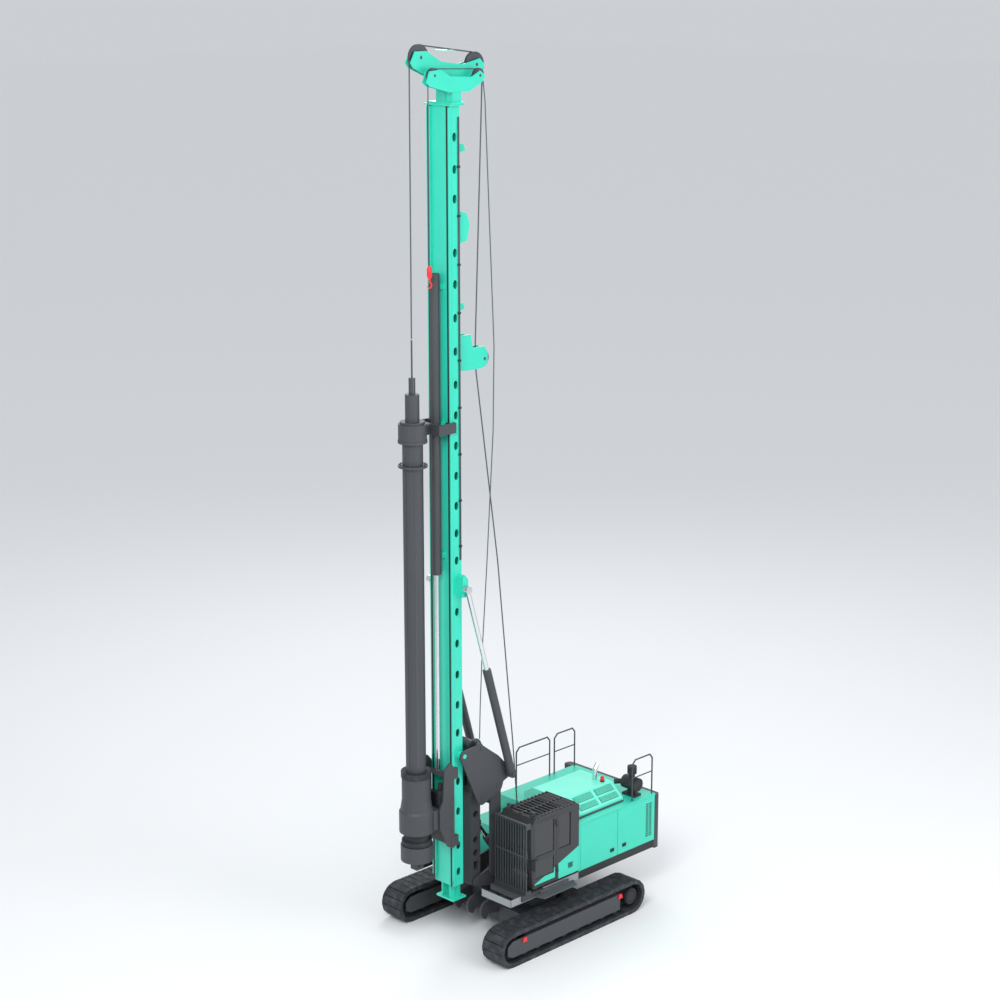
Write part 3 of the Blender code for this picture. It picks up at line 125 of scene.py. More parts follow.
class Tree:
    """The node tree of one material."""

    def __init__(self, name: str) -> None:
        """Make an empty material with a Principled shader."""
        self.material = bpy.data.materials.new(name)
        self.material.use_nodes = True
        self.nodes = self.material.node_tree.nodes
        self.links = self.material.node_tree.links
        self.shader = self.nodes["Principled BSDF"]

    def node(self, kind: str, settings: dict, inputs: dict, output: int | str = 0) -> Value:
        """Add any node.

        Args:
            kind: the node's type.
            settings: attributes set before its sockets are filled; "stops" fills a colour ramp.
            inputs: socket name or number to a value or a Value.
            output: the output that is returned.

        Returns:
            That output as a Value.
        """
        made = self.nodes.new(kind)
        for name, setting in settings.items():
            if name == "stops":
                ramp = made.color_ramp
                while len(ramp.elements) < len(setting):
                    ramp.elements.new(0.5)
                for element, (place, shade) in zip(ramp.elements, setting):
                    element.position = place
                    element.color = (*shade, 1.0) if len(shade) == 3 else shade
            else:
                setattr(made, name, setting)
        for name, value in inputs.items():
            self.feed(made.inputs[name], value)
        return Value(self, made.outputs[output])

    def feed(self, socket: bpy.types.NodeSocket, value: "Value | float | tuple") -> None:
        """Link a Value to a socket, or set the socket's own number or colour."""
        if isinstance(value, Value):
            self.links.new(value.socket, socket)
        else:
            socket.default_value = value

    def place(self) -> Value:
        """Position on the object, in metres."""
        return self.node("ShaderNodeTexCoord", {}, {}, "Object")

    def noise(self, scale: float, detail: float = 3.0, stretch: tuple = (1, 1, 1)) -> Value:
        """Cloudy pattern between 0 and 1 in object space.

        Args:
            scale: clouds to a metre.
            detail: octaves.
            stretch: scale along each axis.

        Returns:
            The pattern.
        """
        spot = self.node("ShaderNodeMapping", {}, {"Vector": self.place(), "Scale": stretch})
        return self.node("ShaderNodeTexNoise", {}, {"Vector": spot, "Scale": scale, "Detail": detail}, "Fac")

    def blend(self, factor: Value, first: "Value | tuple", second: "Value | tuple") -> Value:
        """Colour between two colours."""
        return self.node("ShaderNodeMix", {"data_type": "RGBA"}, {0: factor, 6: first, 7: second}, 2)

    def bump(self, height: Value, strength: float, distance: float) -> Value:
        """Normal from a height pattern."""
        return self.node("ShaderNodeBump", {},
                         {"Height": height, "Strength": strength, "Distance": distance}, "Normal")

    def surface(self, **sockets: "Value | float | tuple") -> bpy.types.Material:
        """Fill the shader's sockets; underscores stand for spaces.

        Args:
            **sockets: socket name to value.

        Returns:
            The finished material.
        """
        for name, value in sockets.items():
            self.feed(self.shader.inputs[name.replace("_", " ")], value)
        return self.material


def shade(red: int, green: int, blue: int) -> tuple[float, float, float, float]:
    """Displayed 0 to 255 colour as linear light."""
    steps = np.array([red, green, blue]) / 255
    linear = np.where(steps <= 0.04045, steps / 12.92, ((steps + 0.055) / 1.055) ** 2.4)
    return (*(float(v) for v in linear), 1.0)


@dataclass(frozen=True)
class Paint:
    """Sprayed paint with faint mottling, dust in broad clouds and orange peel."""

    name: str
    colour: tuple[int, int, int]
    roughness: float = 0.42
    metallic: float = 0.0
    mottle: float = 0.10
    peel: float = 0.05
    coat: float = 0.0

    def material(self) -> bpy.types.Material:
        """Build the material."""
        tree = Tree(self.name)
        base = shade(*self.colour)
        dark = tuple(c * (1 - self.mottle) for c in base[:3]) + (1.0,)
        light = tuple(min(1.0, c * (1 + self.mottle * 0.7)) for c in base[:3]) + (1.0,)
        cloud = tree.noise(1.7, 5.0)
        fine = tree.noise(55.0, 2.0)
        colour = tree.blend((cloud * 0.8 + fine * 0.2).clamped(), dark, light)
        rough = (cloud * 0.14 + fine * 0.06 + (self.roughness - 0.10)).clamped()
        normal = tree.bump(tree.noise(140.0, 2.0), self.peel, 0.002)
        return tree.surface(Base_Color=colour, Roughness=rough, Metallic=self.metallic, Normal=normal,
                            Coat_Weight=self.coat, Coat_Roughness=0.15)


@dataclass(frozen=True)
class Steel:
    """Bare or oiled steel with fine scratches along one axis and smudges."""

    name: str
    colour: tuple[int, int, int]
    roughness: float = 0.3
    metallic: float = 1.0
    stretch: tuple[float, float, float] = (1.0, 1.0, 0.05)

    def material(self) -> bpy.types.Material:
        """Build the material."""
        tree = Tree(self.name)
        base = shade(*self.colour)
        dark = tuple(c * 0.82 for c in base[:3]) + (1.0,)
        scratch = tree.noise(90.0, 3.0, self.stretch)
        smudge = tree.noise(3.0, 4.0)
        colour = tree.blend((scratch * 0.5 + smudge * 0.5).clamped(), dark, base)
        rough = (scratch * 0.12 + smudge * 0.12 + (self.roughness - 0.10)).clamped()
        return tree.surface(Base_Color=colour, Roughness=rough, Metallic=self.metallic,
                            Normal=tree.bump(scratch, 0.06, 0.001))


@dataclass(frozen=True)
class Cast:
    """Cast or rolled steel with a grainy skin and worn, lighter patches."""

    name: str
    colour: tuple[int, int, int]
    worn: tuple[int, int, int]
    roughness: float = 0.6
    metallic: float = 0.4
    grain: float = 0.25

    def material(self) -> bpy.types.Material:
        """Build the material."""
        tree = Tree(self.name)
        cloud = tree.noise(6.0, 6.0)
        grit = tree.noise(120.0, 3.0)
        mask = ((cloud - 0.45) * 3.0).clamped() * 0.6
        colour = tree.blend(mask, shade(*self.colour), shade(*self.worn))
        rough = (self.roughness + grit * 0.15 - mask * 0.15).clamped()
        return tree.surface(Base_Color=colour, Roughness=rough, Metallic=self.metallic,
                            Normal=tree.bump(grit, self.grain, 0.002))


@dataclass(frozen=True)
class Cloth:
    """Woven seat cloth."""

    name: str
    colour: tuple[int, int, int]

    def material(self) -> bpy.types.Material:
        """Build the material."""
        tree = Tree(self.name)
        waves = [tree.node("ShaderNodeTexWave", {"bands_direction": way}, {"Vector": tree.place(), "Scale": 90.0},
                           "Fac") for way in ("X", "Z")]
        weave = waves[0] * waves[1]
        base = shade(*self.colour)
        dark = tuple(c * 0.6 for c in base[:3]) + (1.0,)
        return tree.surface(Base_Color=tree.blend(weave, dark, base), Roughness=0.9,
                            Normal=tree.bump(weave, 0.3, 0.002))


@dataclass(frozen=True)
class Grating:
    """Steel plate with a raised diamond pattern."""

    name: str
    colour: tuple[int, int, int]

    def material(self) -> bpy.types.Material:
        """Build the material."""
        tree = Tree(self.name)
        cells = tree.node("ShaderNodeTexVoronoi", {"feature": "DISTANCE_TO_EDGE"},
                          {"Vector": tree.place(), "Scale": 28.0}, "Distance")
        mask = (cells * 8.0).clamped()
        base = shade(*self.colour)
        dark = tuple(c * 0.5 for c in base[:3]) + (1.0,)
        return tree.surface(Base_Color=tree.blend(mask, dark, base), Roughness=0.55, Metallic=0.4,
                            Normal=tree.bump(mask, 0.4, 0.003))


@dataclass(frozen=True)
class Pane:
    """Dark tinted glass."""

    name: str
    colour: tuple[int, int, int] = (26, 28, 30)
    alpha: float = 0.95

    def material(self) -> bpy.types.Material:
        """Build the material."""
        tree = Tree(self.name)
        smear = tree.noise(4.0, 3.0)
        base = shade(*self.colour)
        pale = tuple(min(1.0, c * 1.5) for c in base[:3]) + (1.0,)
        return tree.surface(Base_Color=tree.blend(smear * 0.5, base, pale), Roughness=smear * 0.06 + 0.04,
                            Alpha=self.alpha, Coat_Weight=0.5)


FINISHES = {
    "green_paint": Paint("green_paint", (46, 208, 180), 0.38, coat=0.25),
    # The green paint made lighter: painted light for faces that catch more light.
    "lit_green": Paint("lit_green", (112, 236, 210), 0.40, coat=0.2),
    # The green paint made darker: painted shade for faces in shade.
    "shaded_green": Paint("shaded_green", (30, 168, 146), 0.40, coat=0.2),
    "dark_paint": Paint("dark_paint", (62, 64, 68), 0.50, mottle=0.14),
    "black_paint": Paint("black_paint", (30, 31, 33), 0.50, mottle=0.14),
    "cab_paint": Paint("cab_paint", (48, 49, 52), 0.45, mottle=0.10),
    "red_paint": Paint("red_paint", (226, 38, 44), 0.40),
    "light_grey": Paint("light_grey", (150, 154, 158), 0.45),
    "track_steel": Cast("track_steel", (52, 54, 58), (96, 100, 106)),
    "iron": Cast("iron", (44, 46, 49), (68, 71, 75), 0.6, 0.3),
    "grating": Grating("grating", (104, 108, 112)),
    "rubber": Cloth("rubber", (40, 41, 44)),
    "chrome": Steel("chrome", (226, 228, 230), 0.14),
    "machined_steel": Steel("machined_steel", (92, 96, 101), 0.38, 0.8, (0.2, 1.0, 1.0)),
    "rope_steel": Steel("rope_steel", (92, 96, 102), 0.5, 0.6, (1.0, 1.0, 1.0)),
    "glass": Pane("glass"),
}
# The lighter and darker greens are the green paint with painted light and painted shade, so they share its slot.
SLOT_OF = {"lit_green": "green_paint", "shaded_green": "green_paint", "black_paint": "dark_paint",
           "red_paint": "dark_paint", "light_grey": "grating", "rope_steel": "machined_steel",
           "glass": "cab_paint"}


class Wardrobe:
    """Materials made once and shared."""

    def __init__(self) -> None:
        """Start empty."""
        self.made: dict[str, bpy.types.Material] = {}

    def get(self, name: str) -> bpy.types.Material:
        """Material of a finish, made on first use."""
        if name not in self.made:
            self.made[name] = FINISHES[name].material()
        return self.made[name]


WARDROBE = Wardrobe()


# ------------------------------------------------------------------ meshes
class Shape:
    """Vertices and faces gathered from numpy grids, made into one object at the end."""

    def __init__(self) -> None:
        """Start with nothing."""
        self.points: list[np.ndarray] = []
        self.faces: list[list[int]] = []
        self.count = 0

    def add(self, points: np.ndarray, faces: list) -> "Shape":
        """Add points, and faces that number them from 0."""
        self.faces += [[int(i) + self.count for i in face] for face in faces]
        self.points.append(points)
        self.count += len(points)
        return self

    def prism(self, axis: Axis, low: float, high: float, outline: list | np.ndarray) -> "Shape":
        """Outline carried from low to high along an axis, with both ends closed.

        Args:
            axis: the axis of the extrusion.
            low: where it starts.
            high: where it ends.
            outline: its points in the axis's own plane.

        Returns:
            The shape itself.
        """
        flat = np.asarray(outline, float)
        a, b, c = axis.value
        ends = []
        for place in (low, high):
            ring = np.empty((len(flat), 3))
            ring[:, a], ring[:, b], ring[:, c] = flat[:, 0], flat[:, 1], place
            ends.append(ring)
        n = len(flat)
        near = np.arange(n)
        far = (near + 1) % n
        sides = np.stack([near, far, far + n, near + n], axis=1).tolist()
        return self.add(np.concatenate(ends), [near[::-1].tolist(), (near + n).tolist()] + sides)

    def boxes(self, centres: np.ndarray, size: tuple[float, float, float]) -> "Shape":
        """Equal boxes at many centres: each corner is the centre plus or minus half the size."""
        centres = np.atleast_2d(np.asarray(centres, float))
        signs = np.array([(x, y, z) for z in (-1, 1) for y in (-1, 1) for x in (-1, 1)]) * 0.5
        points = (centres[:, None, :] + signs[None] * np.asarray(size)).reshape(-1, 3)
        quads = np.array([(0, 2, 3, 1), (4, 5, 7, 6), (0, 1, 5, 4), (2, 6, 7, 3), (0, 4, 6, 2), (1, 3, 7, 5)])
        faces = (quads[None] + 8 * np.arange(len(centres))[:, None, None]).reshape(-1, 4)
        return self.add(points, faces.tolist())

    def tube(self, path: list | np.ndarray, radius: float | np.ndarray, sides: int = 10) -> "Shape":
        """Round section carried along a path: centre + radius (u cos a + v sin a), ends closed.

        Args:
            path: points of the centre line.
            radius: one radius, or one at each point.
            sides: points around the section.

        Returns:
            The shape itself.
        """
        path = np.asarray(path, float)
        run = np.gradient(path, axis=0)
        run /= np.linalg.norm(run, axis=1, keepdims=True)
        spare = np.where(np.abs(run[:, :1]) < 0.9, [[1.0, 0, 0]], [[0, 1.0, 0]])
        u = np.cross(run, spare)
        u /= np.linalg.norm(u, axis=1, keepdims=True)
        v = np.cross(run, u)
        turn = np.linspace(0, 2 * np.pi, sides, endpoint=False)
        size = np.broadcast_to(np.asarray(radius, float), len(path))[:, None, None]
        ring = u[:, None] * np.cos(turn)[:, None] + v[:, None] * np.sin(turn)[:, None]
        points = (path[:, None] + size * ring).reshape(-1, 3)
        rows, cols = np.meshgrid(np.arange(len(path) - 1), np.arange(sides), indexing="ij")
        nxt = (cols + 1) % sides
        quads = np.stack([rows * sides + cols, rows * sides + nxt, (rows + 1) * sides + nxt,
                          (rows + 1) * sides + cols], axis=-1).reshape(-1, 4)
        first = np.arange(sides)[::-1].tolist()
        last = (np.arange(sides) + (len(path) - 1) * sides).tolist()
        return self.add(points, quads.tolist() + [first, last])

    def lathe(self, centre: tuple, axis: Axis, profile: list, sides: int = 40) -> "Shape":
        """Closed (radius, place) profile turned about an axis through centre.

        Args:
            centre: the axis's point in its own plane.
            axis: the axis turned about.
            profile: radius and place along the axis, as a closed loop.
            sides: steps around.

        Returns:
            The shape itself.
        """
        a, b, c = axis.value
        radius, place = np.asarray(profile, float).T
        turn = np.linspace(0, 2 * np.pi, sides, endpoint=False)
        points = np.empty((len(radius), sides, 3))
        points[..., a] = centre[0] + radius[:, None] * np.cos(turn)
        points[..., b] = centre[1] + radius[:, None] * np.sin(turn)
        points[..., c] = place[:, None]
        rows, cols = np.meshgrid(np.arange(len(radius)), np.arange(sides), indexing="ij")
        nr, nc = (rows + 1) % len(radius), (cols + 1) % sides
        quads = np.stack([rows * sides + cols, rows * sides + nc, nr * sides + nc, nr * sides + cols],
                         axis=-1).reshape(-1, 4)
        return self.add(points.reshape(-1, 3), quads.tolist())

    def disc(self, centre: tuple, axis: Axis, radius: float, low: float, high: float,
             sides: int = 24) -> "Shape":
        """Round bar along an axis."""
        turn = np.linspace(0, 2 * np.pi, sides, endpoint=False)
        ring = np.stack([centre[0] + radius * np.cos(turn), centre[1] + radius * np.sin(turn)], axis=1)
        return self.prism(axis, low, high, ring)

    def piece(self, name: str, finish: str, body: str, bevel: float = 0.0) -> bpy.types.Object:
        """Make the object, dress it and let it ride.

        Args:
            name: the object's name.
            finish: a name in FINISHES.
            body: the body that it rides on, or "" for a piece that rides on no body.
            bevel: width of the rounded edges, or 0.

        Returns:
            The object.
        """
        mesh = bpy.data.meshes.new(name)
        mesh.from_pydata(np.concatenate(self.points).tolist(), [], self.faces)
        obj = bpy.data.objects.new(name, mesh)
        bpy.context.scene.collection.objects.link(obj)
        outward(mesh)
        mesh.materials.append(WARDROBE.get(finish))
        mesh.shade_smooth()
        mesh.set_sharp_from_angle(angle=np.radians(35))
        if bevel:
            rounding = obj.modifiers.new("edges", "BEVEL")
            rounding.width, rounding.segments, rounding.limit_method = bevel, 2, "ANGLE"
        if body:
            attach(obj, body)
        SLOT_OF.get(finish, finish)
        LOG.info("%s rides on %s", name, body or "two bodies")
        return obj


def outward(mesh: bpy.types.Mesh) -> None:
    """Turn every closed shell's faces outwards."""
    import bmesh
    bm = bmesh.new()
    bm.from_mesh(mesh)
    bmesh.ops.recalc_face_normals(bm, faces=bm.faces[:])
    bm.to_mesh(mesh)
    bm.free()


def grid(*axes: list | np.ndarray) -> np.ndarray:
    """Every combination of the values along x, y and z, as centres."""
    return np.stack(np.meshgrid(*axes, indexing="ij"), axis=-1).reshape(-1, 3)


SUPER = "superstructure"
SHEET = 0.004            # thickness of a plate laid on a surface


# ------------------------------------------------------------------ sub-assemblies
@dataclass
class Crawler:
    """Fine parts of the tracks and their frames."""

    plate_x: float = 1.873
    lug_places: tuple = ((-1.59, 0.54), (1.51, 0.55))
    hub_radius: float = 0.17
    axle_y: float = 1.93
    axle_z: float = 0.405

    def build(self) -> None:
        """Make the lifting lugs, hub covers and shoe bolts on both sides."""
        for word, side in (("left", 1), ("right", -1)):
            _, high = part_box(f"track_frame_{word}")
            face = high.x if side > 0 else -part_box(f"track_frame_{word}")[0].x
            lugs = Shape()
            for y, z in self.lug_places:
                lugs.prism(Axis.X, side * face, side * (face + 0.03),
                           [(y - 0.07, z - 0.05), (y + 0.07, z - 0.05), (y + 0.04, z + 0.06), (y - 0.04, z + 0.06)])
            lugs.piece(f"frame_lugs_{word}", "red_paint", "undercarriage", 0.006)
            for end, y in (("idler", -self.axle_y), ("sprocket", self.axle_y)):
                outer = max(abs(v) for v in (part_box(f"{end}_{word}")[0].x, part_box(f"{end}_{word}")[1].x))
                hub = Shape().disc((y, self.axle_z), Axis.X, self.hub_radius, side * outer, side * (outer + 0.012), 32)
                turn = np.linspace(0, 2 * np.pi, 12, endpoint=False)
                for angle in turn:
                    hub.disc((y + 0.13 * np.cos(angle), self.axle_z + 0.13 * np.sin(angle)), Axis.X, 0.014,
                             side * (outer + 0.010), side * (outer + 0.026), 6)
                hub.piece(f"{end}_hub_{word}", "black_paint", "undercarriage")
            bolts = Shape()
            low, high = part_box(f"track_{word}")
            step = 2 * self.axle_y / 25
            places = np.arange(-self.axle_y + step / 2, self.axle_y, step)
            across = (low.x + high.x) / 2 + np.array([-0.22, -0.12, 0.12, 0.22])
            bolts.boxes(grid(across, np.concatenate([places - 0.03, places + 0.03]), [high.z - 0.003]),
                        (0.022, 0.022, 0.018))
            bolts.piece(f"shoe_bolts_{word}", "track_steel", "undercarriage")


@dataclass
class House:
    """Latches, vents, skirt, deck edge, counterweight plugs and walkway of the engine house and its doors."""

    side_x: float = 1.45
    right_x: float = -1.12
    vent_y: float = 2.97
    vent_heights: tuple = (1.47, 2.30)
    sill: float = 1.30

    def latch(self, name: str, body: str, y: float, z: float) -> None:
        """Flush handle in a dark dish."""
        shape = Shape().boxes([(self.side_x + 0.003, y, z)], (0.012, 0.13, 0.085))
        shape.boxes([(self.side_x + 0.012, y, z + 0.005)], (0.014, 0.09, 0.028))
        shape.piece(name, "black_paint", body, 0.003)

    def build(self) -> None:
        """Make every piece of the house."""
        self.latch("latch_front_door", "left_service_door_front", 1.72, 1.48)
        self.latch("latch_rear_door", "left_service_door_rear", 2.13, 1.49)
        rows = np.arange(*self.vent_heights, 0.052)
        vent = Shape().boxes(grid([self.side_x], [self.vent_y - 0.055, self.vent_y + 0.055], rows),
                             (0.006, 0.085, 0.026))
        vent.piece("vent_rear_door", "black_paint", "left_service_door_rear")
        vent = Shape().boxes(grid([self.right_x], [2.25, 2.42, 2.59, 2.76], np.arange(1.62, 2.25, 0.052)),
                             (0.006, 0.13, 0.026))
        vent.piece("vent_right_door", "black_paint", "right_service_door")
        low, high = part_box("platform")
        skirt = Shape().boxes([(self.side_x + 0.002, (0.62 + 3.16) / 2, 1.205)], (SHEET, 3.16 - 0.62, 0.165))
        skirt.boxes([(-self.side_x - 0.002, (low.y + 3.16) / 2, 1.205)], (SHEET, 3.16 - low.y, 0.165))
        skirt.piece("deck_skirt", "black_paint", SUPER)
        edge = Shape().boxes([(1.0, low.y - 0.004, 1.21)], (0.90, 0.008, 0.17))
        edge.boxes([(self.side_x + 0.003, (low.y + 0.60) / 2, 1.21)], (0.006, 0.58 - low.y, 0.17))
        edge.piece("cab_deck_edge", "light_grey", SUPER, 0.002)
        low_cw, high_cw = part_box("counterweight")
        bolts = Shape()
        for x in (-0.9, 0.9):
            bolts.disc((x, 1.74), Axis.Y, 0.07, high_cw.y - 0.02, high_cw.y - 0.001, 24)
        bolts.piece("counterweight_plugs", "black_paint", SUPER)
        walk = Shape()
        walk.boxes(grid([-1.34, -1.24], [0.95, 1.45, 1.95, 2.45, 2.95], [self.sill + 0.004]), (0.09, 0.48, 0.008))
        walk.piece("walkway_strip", "grating", SUPER)


@dataclass
class Hood:
    """Vent fields on the sloping side of the engine hood, the lamp and the stack's mouth."""

    foot: tuple = (1.22, 2.53)
    head: tuple = (0.86, 2.84)
    fields_y: tuple = ((0.96, 1.56), (1.66, 2.24))
    fields_s: tuple = ((0.06, 0.21), (0.26, 0.42))

    def build(self) -> None:
        """Make the louvres, the hood's bar, lamp and stack mouth."""
        foot, head = np.array(self.foot), np.array(self.head)
        along = (head - foot) / np.linalg.norm(head - foot)
        out = np.array([along[1], -along[0]])
        back, slats = Shape(), Shape()
        for y_low, y_high in self.fields_y:
            for start, end in self.fields_s:
                a, b = foot + along * start, foot + along * end
                back.prism(Axis.Y, y_low, y_high, [a - out * 0.002, b - out * 0.002, b + out * 0.003, a + out * 0.003])
                for s in np.arange(start + 0.012, end, 0.024):
                    mid = foot + along * s
                    slats.prism(Axis.Y, y_low + 0.01, y_high - 0.01,
                                [mid + out * 0.002, mid + along * 0.008 + out * 0.002,
                                 mid + along * 0.014 + out * 0.016, mid + along * 0.008 + out * 0.016])
        back.piece("hood_vent_back", "black_paint", "engine_hood")
        # The slats wear the lighter green: painted light on the green paint.
        slats.piece("hood_vent_slats", "lit_green", "engine_hood")
        lamp = Shape().disc((0.74, 2.14), Axis.Z, 0.055, 2.84, 2.87, 24)
        lamp.piece("beacon_base", "black_paint", "engine_hood")
        dome = Shape().tube([(0.74, 2.14, z) for z in (2.868, 2.93, 2.96, 2.975)], np.array([0.046, 0.046, 0.036, 0.012]), 24)
        dome.piece("beacon_dome", "red_paint", "engine_hood")
        mouth = Shape().tube([(0.52, 2.205, 3.182), (0.52, 2.2215, 3.2018)], 0.046, 20)
        mouth.piece("stack_mouth", "black_paint", "engine_hood")
        bar = Shape().tube([(1.25, y, 2.47) for y in (0.74, 1.5, 2.30)], 0.018, 10)
        bar.piece("hood_rest_bar", "dark_paint", SUPER)


@dataclass
class Cab:
    """Glass, guards, stripe, mirror and handle of the operator's cab."""

    x: tuple = (0.52, 1.50)
    y: tuple = (-0.98, 0.55)
    top: float = 3.00
    glass: float = 0.006

    def build(self) -> None:
        """Make every piece of the cab."""
        self.panes()
        self.stripe()
        self.guards()
        self.fittings()

    def panes(self) -> None:
        """Glass in each opening."""
        x_high, depth = self.x[1], self.glass
        door = Shape()
        for z in ((1.582, 1.978), (2.102, 2.858)):
            door.prism(Axis.X, x_high - 0.020, x_high - 0.020 + depth,
                       [(-0.848, z[0]), (-0.262, z[0]), (-0.262, z[1]), (-0.848, z[1])])
        door.piece("cab_door_glass", "glass", "cab_door")
        shell = Shape()
        shell.prism(Axis.X, x_high - 0.025, x_high - 0.025 + depth,
                    [(-0.088, 2.082), (0.278, 2.082), (0.278, 2.868), (-0.088, 2.868)])
        shell.prism(Axis.X, self.x[0] + 0.020, self.x[0] + 0.020 + depth,
                    [(-0.848, 1.752), (-0.052, 1.752), (-0.052, 2.848), (-0.848, 2.848)])
        shell.prism(Axis.X, self.x[0] + 0.102, x_high - 0.102,
                    [(-0.9275, 1.602), (-0.965, 2.0), (-0.965, 2.778), (-0.959, 2.778), (-0.959, 2.0), (-0.9215, 1.602)])
        shell.prism(Axis.Y, 0.520, 0.526, [(0.642, 2.502), (1.378, 2.502), (1.378, 2.858), (0.642, 2.858)])
        shell.prism(Axis.Z, self.top - 0.030, self.top - 0.024,
                    [(0.672, -0.748), (1.348, -0.748), (1.348, 0.098), (0.672, 0.098)])
        shell.piece("cab_glass", "glass", SUPER)

    def stripe(self) -> None:
        """Green lower side with its slanting upper edge, in a door part and a shell part."""
        low, high = self.x[1], self.x[1] + SHEET
        Shape().prism(Axis.X, low, high, [(-0.87, 1.445), (-0.225, 1.445), (-0.225, 1.697), (-0.258, 1.685),
                                          (-0.258, 1.576), (-0.558, 1.576), (-0.87, 1.47)]
                      ).piece("stripe_door", "green_paint", "cab_door")
        Shape().prism(Axis.X, low, high, [(-0.112, 1.372), (0.545, 1.372), (0.545, 1.968), (-0.112, 1.737)]
                      ).piece("stripe_shell", "green_paint", SUPER)
        slats = Shape().boxes(grid([high + 0.002], [0.27], np.arange(1.54, 1.67, 0.026)), (0.010, 0.15, 0.013))
        slats.piece("cab_louvre", "black_paint", SUPER)

    def guards(self) -> None:
        """Bars over the roof."""
        bars = Shape()
        places = np.linspace(self.y[0] + 0.14, self.y[1] - 0.10, 12)
        bars.boxes(grid([(self.x[0] + self.x[1]) / 2], places, [self.top + 0.026]), (0.90, 0.016, 0.022))
        across = np.array([self.x[0] + 0.05, (self.x[0] + self.x[1]) / 2, self.x[1] - 0.05])
        middle = (places[0] + places[-1]) / 2
        bars.boxes(grid(across, [middle], [self.top + 0.008]), (0.03, places[-1] - places[0] + 0.06, 0.018))
        bars.piece("roof_guard", "dark_paint", SUPER)

    def fittings(self) -> None:
        """Mirror, door handle and work lamps."""
        arm = Shape().tube([(1.49, -0.96, 2.12), (1.56, -1.0, 2.14), (1.60, -1.02, 2.10), (1.60, -1.02, 1.90)], 0.010, 8)
        arm.piece("mirror_arm", "black_paint", SUPER)
        glass = Shape().boxes([(1.60, -1.03, 2.00)], (0.17, 0.035, 0.24))
        glass.piece("mirror_head", "black_paint", SUPER, 0.012)
        handle = Shape().boxes([(1.512, -0.84, 2.04)], (0.024, 0.11, 0.035))
        handle.piece("door_handle", "black_paint", "cab_door", 0.004)
        lamps = Shape()
        for x in (0.66, 1.36):
            lamps.boxes([(x, -0.80, self.top + 0.075)], (0.14, 0.07, 0.09))
        lamps.piece("work_lamps", "black_paint", SUPER, 0.01)
        lens = Shape()
        for x in (0.66, 1.36):
            lens.boxes([(x, -0.836, self.top + 0.075)], (0.12, 0.006, 0.07))
        lens.piece("work_lamp_lenses", "chrome", SUPER)


@dataclass
class MastTrim:
    """Pipes, clamps, rail faces and head plate on the mast."""

    side_x: float = 0.30
    pipe_y: tuple = (-1.925, -1.955)
    span: tuple = (8.9, 18.2)

    def build(self) -> None:
        """Make the pipes with their clamps, and the front cover strips."""
        pipes, clamps = Shape(), Shape()
        heights = np.arange(self.span[0] + 0.3, self.span[1], 1.0)
        for side in (1, -1):
            for y in self.pipe_y:
                pipes.tube([(side * (self.side_x + 0.014), y, z) for z in self.span], 0.010, 8)
            middle = (self.pipe_y[0] + self.pipe_y[1]) / 2
            clamps.boxes(grid([side * (self.side_x + 0.014)], [middle], heights), (0.030, 0.075, 0.045))
        pipes.piece("mast_pipes", "rope_steel", "mast")
        clamps.piece("mast_pipe_clamps", "black_paint", "mast")
        rails = Shape().boxes(grid([-0.275, 0.275], [-2.2315], [(1.47 + 18.44) / 2]), (0.05, 0.003, 18.44 - 1.47))
        rails.piece("mast_rail_faces", "black_paint", "mast")
        low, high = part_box("mast_head")
        plate = Shape().boxes([(0.0, -2.04, high.z - 0.004)], (0.3, 0.3, 0.01))
        plate.piece("mast_head_plate", "green_paint", "mast")


@dataclass
class Drilling:
    """Keys, bolt rings and stub pin of the kelly bar."""

    axis_y: float = -3.0
    radius: float = 0.2175
    key_span: tuple = (4.46, 11.0)

    def build(self) -> None:
        """Make the drive keys, the stub's pin and the bolt rings."""
        keys = Shape()
        for angle in np.radians([90, 210, 330, 30, 150, 270]):
            c, s = np.cos(angle), np.sin(angle)
            across = np.array([-s, c]) * 0.022
            out = np.array([c, s])
            near, far = out * (self.radius - 0.003), out * (self.radius + 0.002)
            base = np.array([0.0, self.axis_y])
            keys.prism(Axis.Z, *self.key_span, [base + near - across, base + far - across, base + far + across,
                                                base + near + across])
        keys.piece("kelly_keys", "machined_steel", "kelly_outer")
        for name, body, z, ring, count in (("drum_bolts", "kelly_drive", 2.292, 0.31, 20),
                                           ("flange_bolts", "kelly_outer", 11.112, 0.27, 16)):
            bolts = Shape()
            for angle in np.linspace(0, 2 * np.pi, count, endpoint=False):
                bolts.disc((ring * np.cos(angle), self.axis_y + ring * np.sin(angle)), Axis.Z, 0.014,
                           z - 0.016 if count == 20 else z, z + 0.016, 6)
            bolts.piece(name, "black_paint", body)
        pin = Shape().disc((self.axis_y, 2.14), Axis.X, 0.03, -0.125, 0.125, 20)
        pin.piece("kelly_stub_pin", "machined_steel", "kelly_inner")


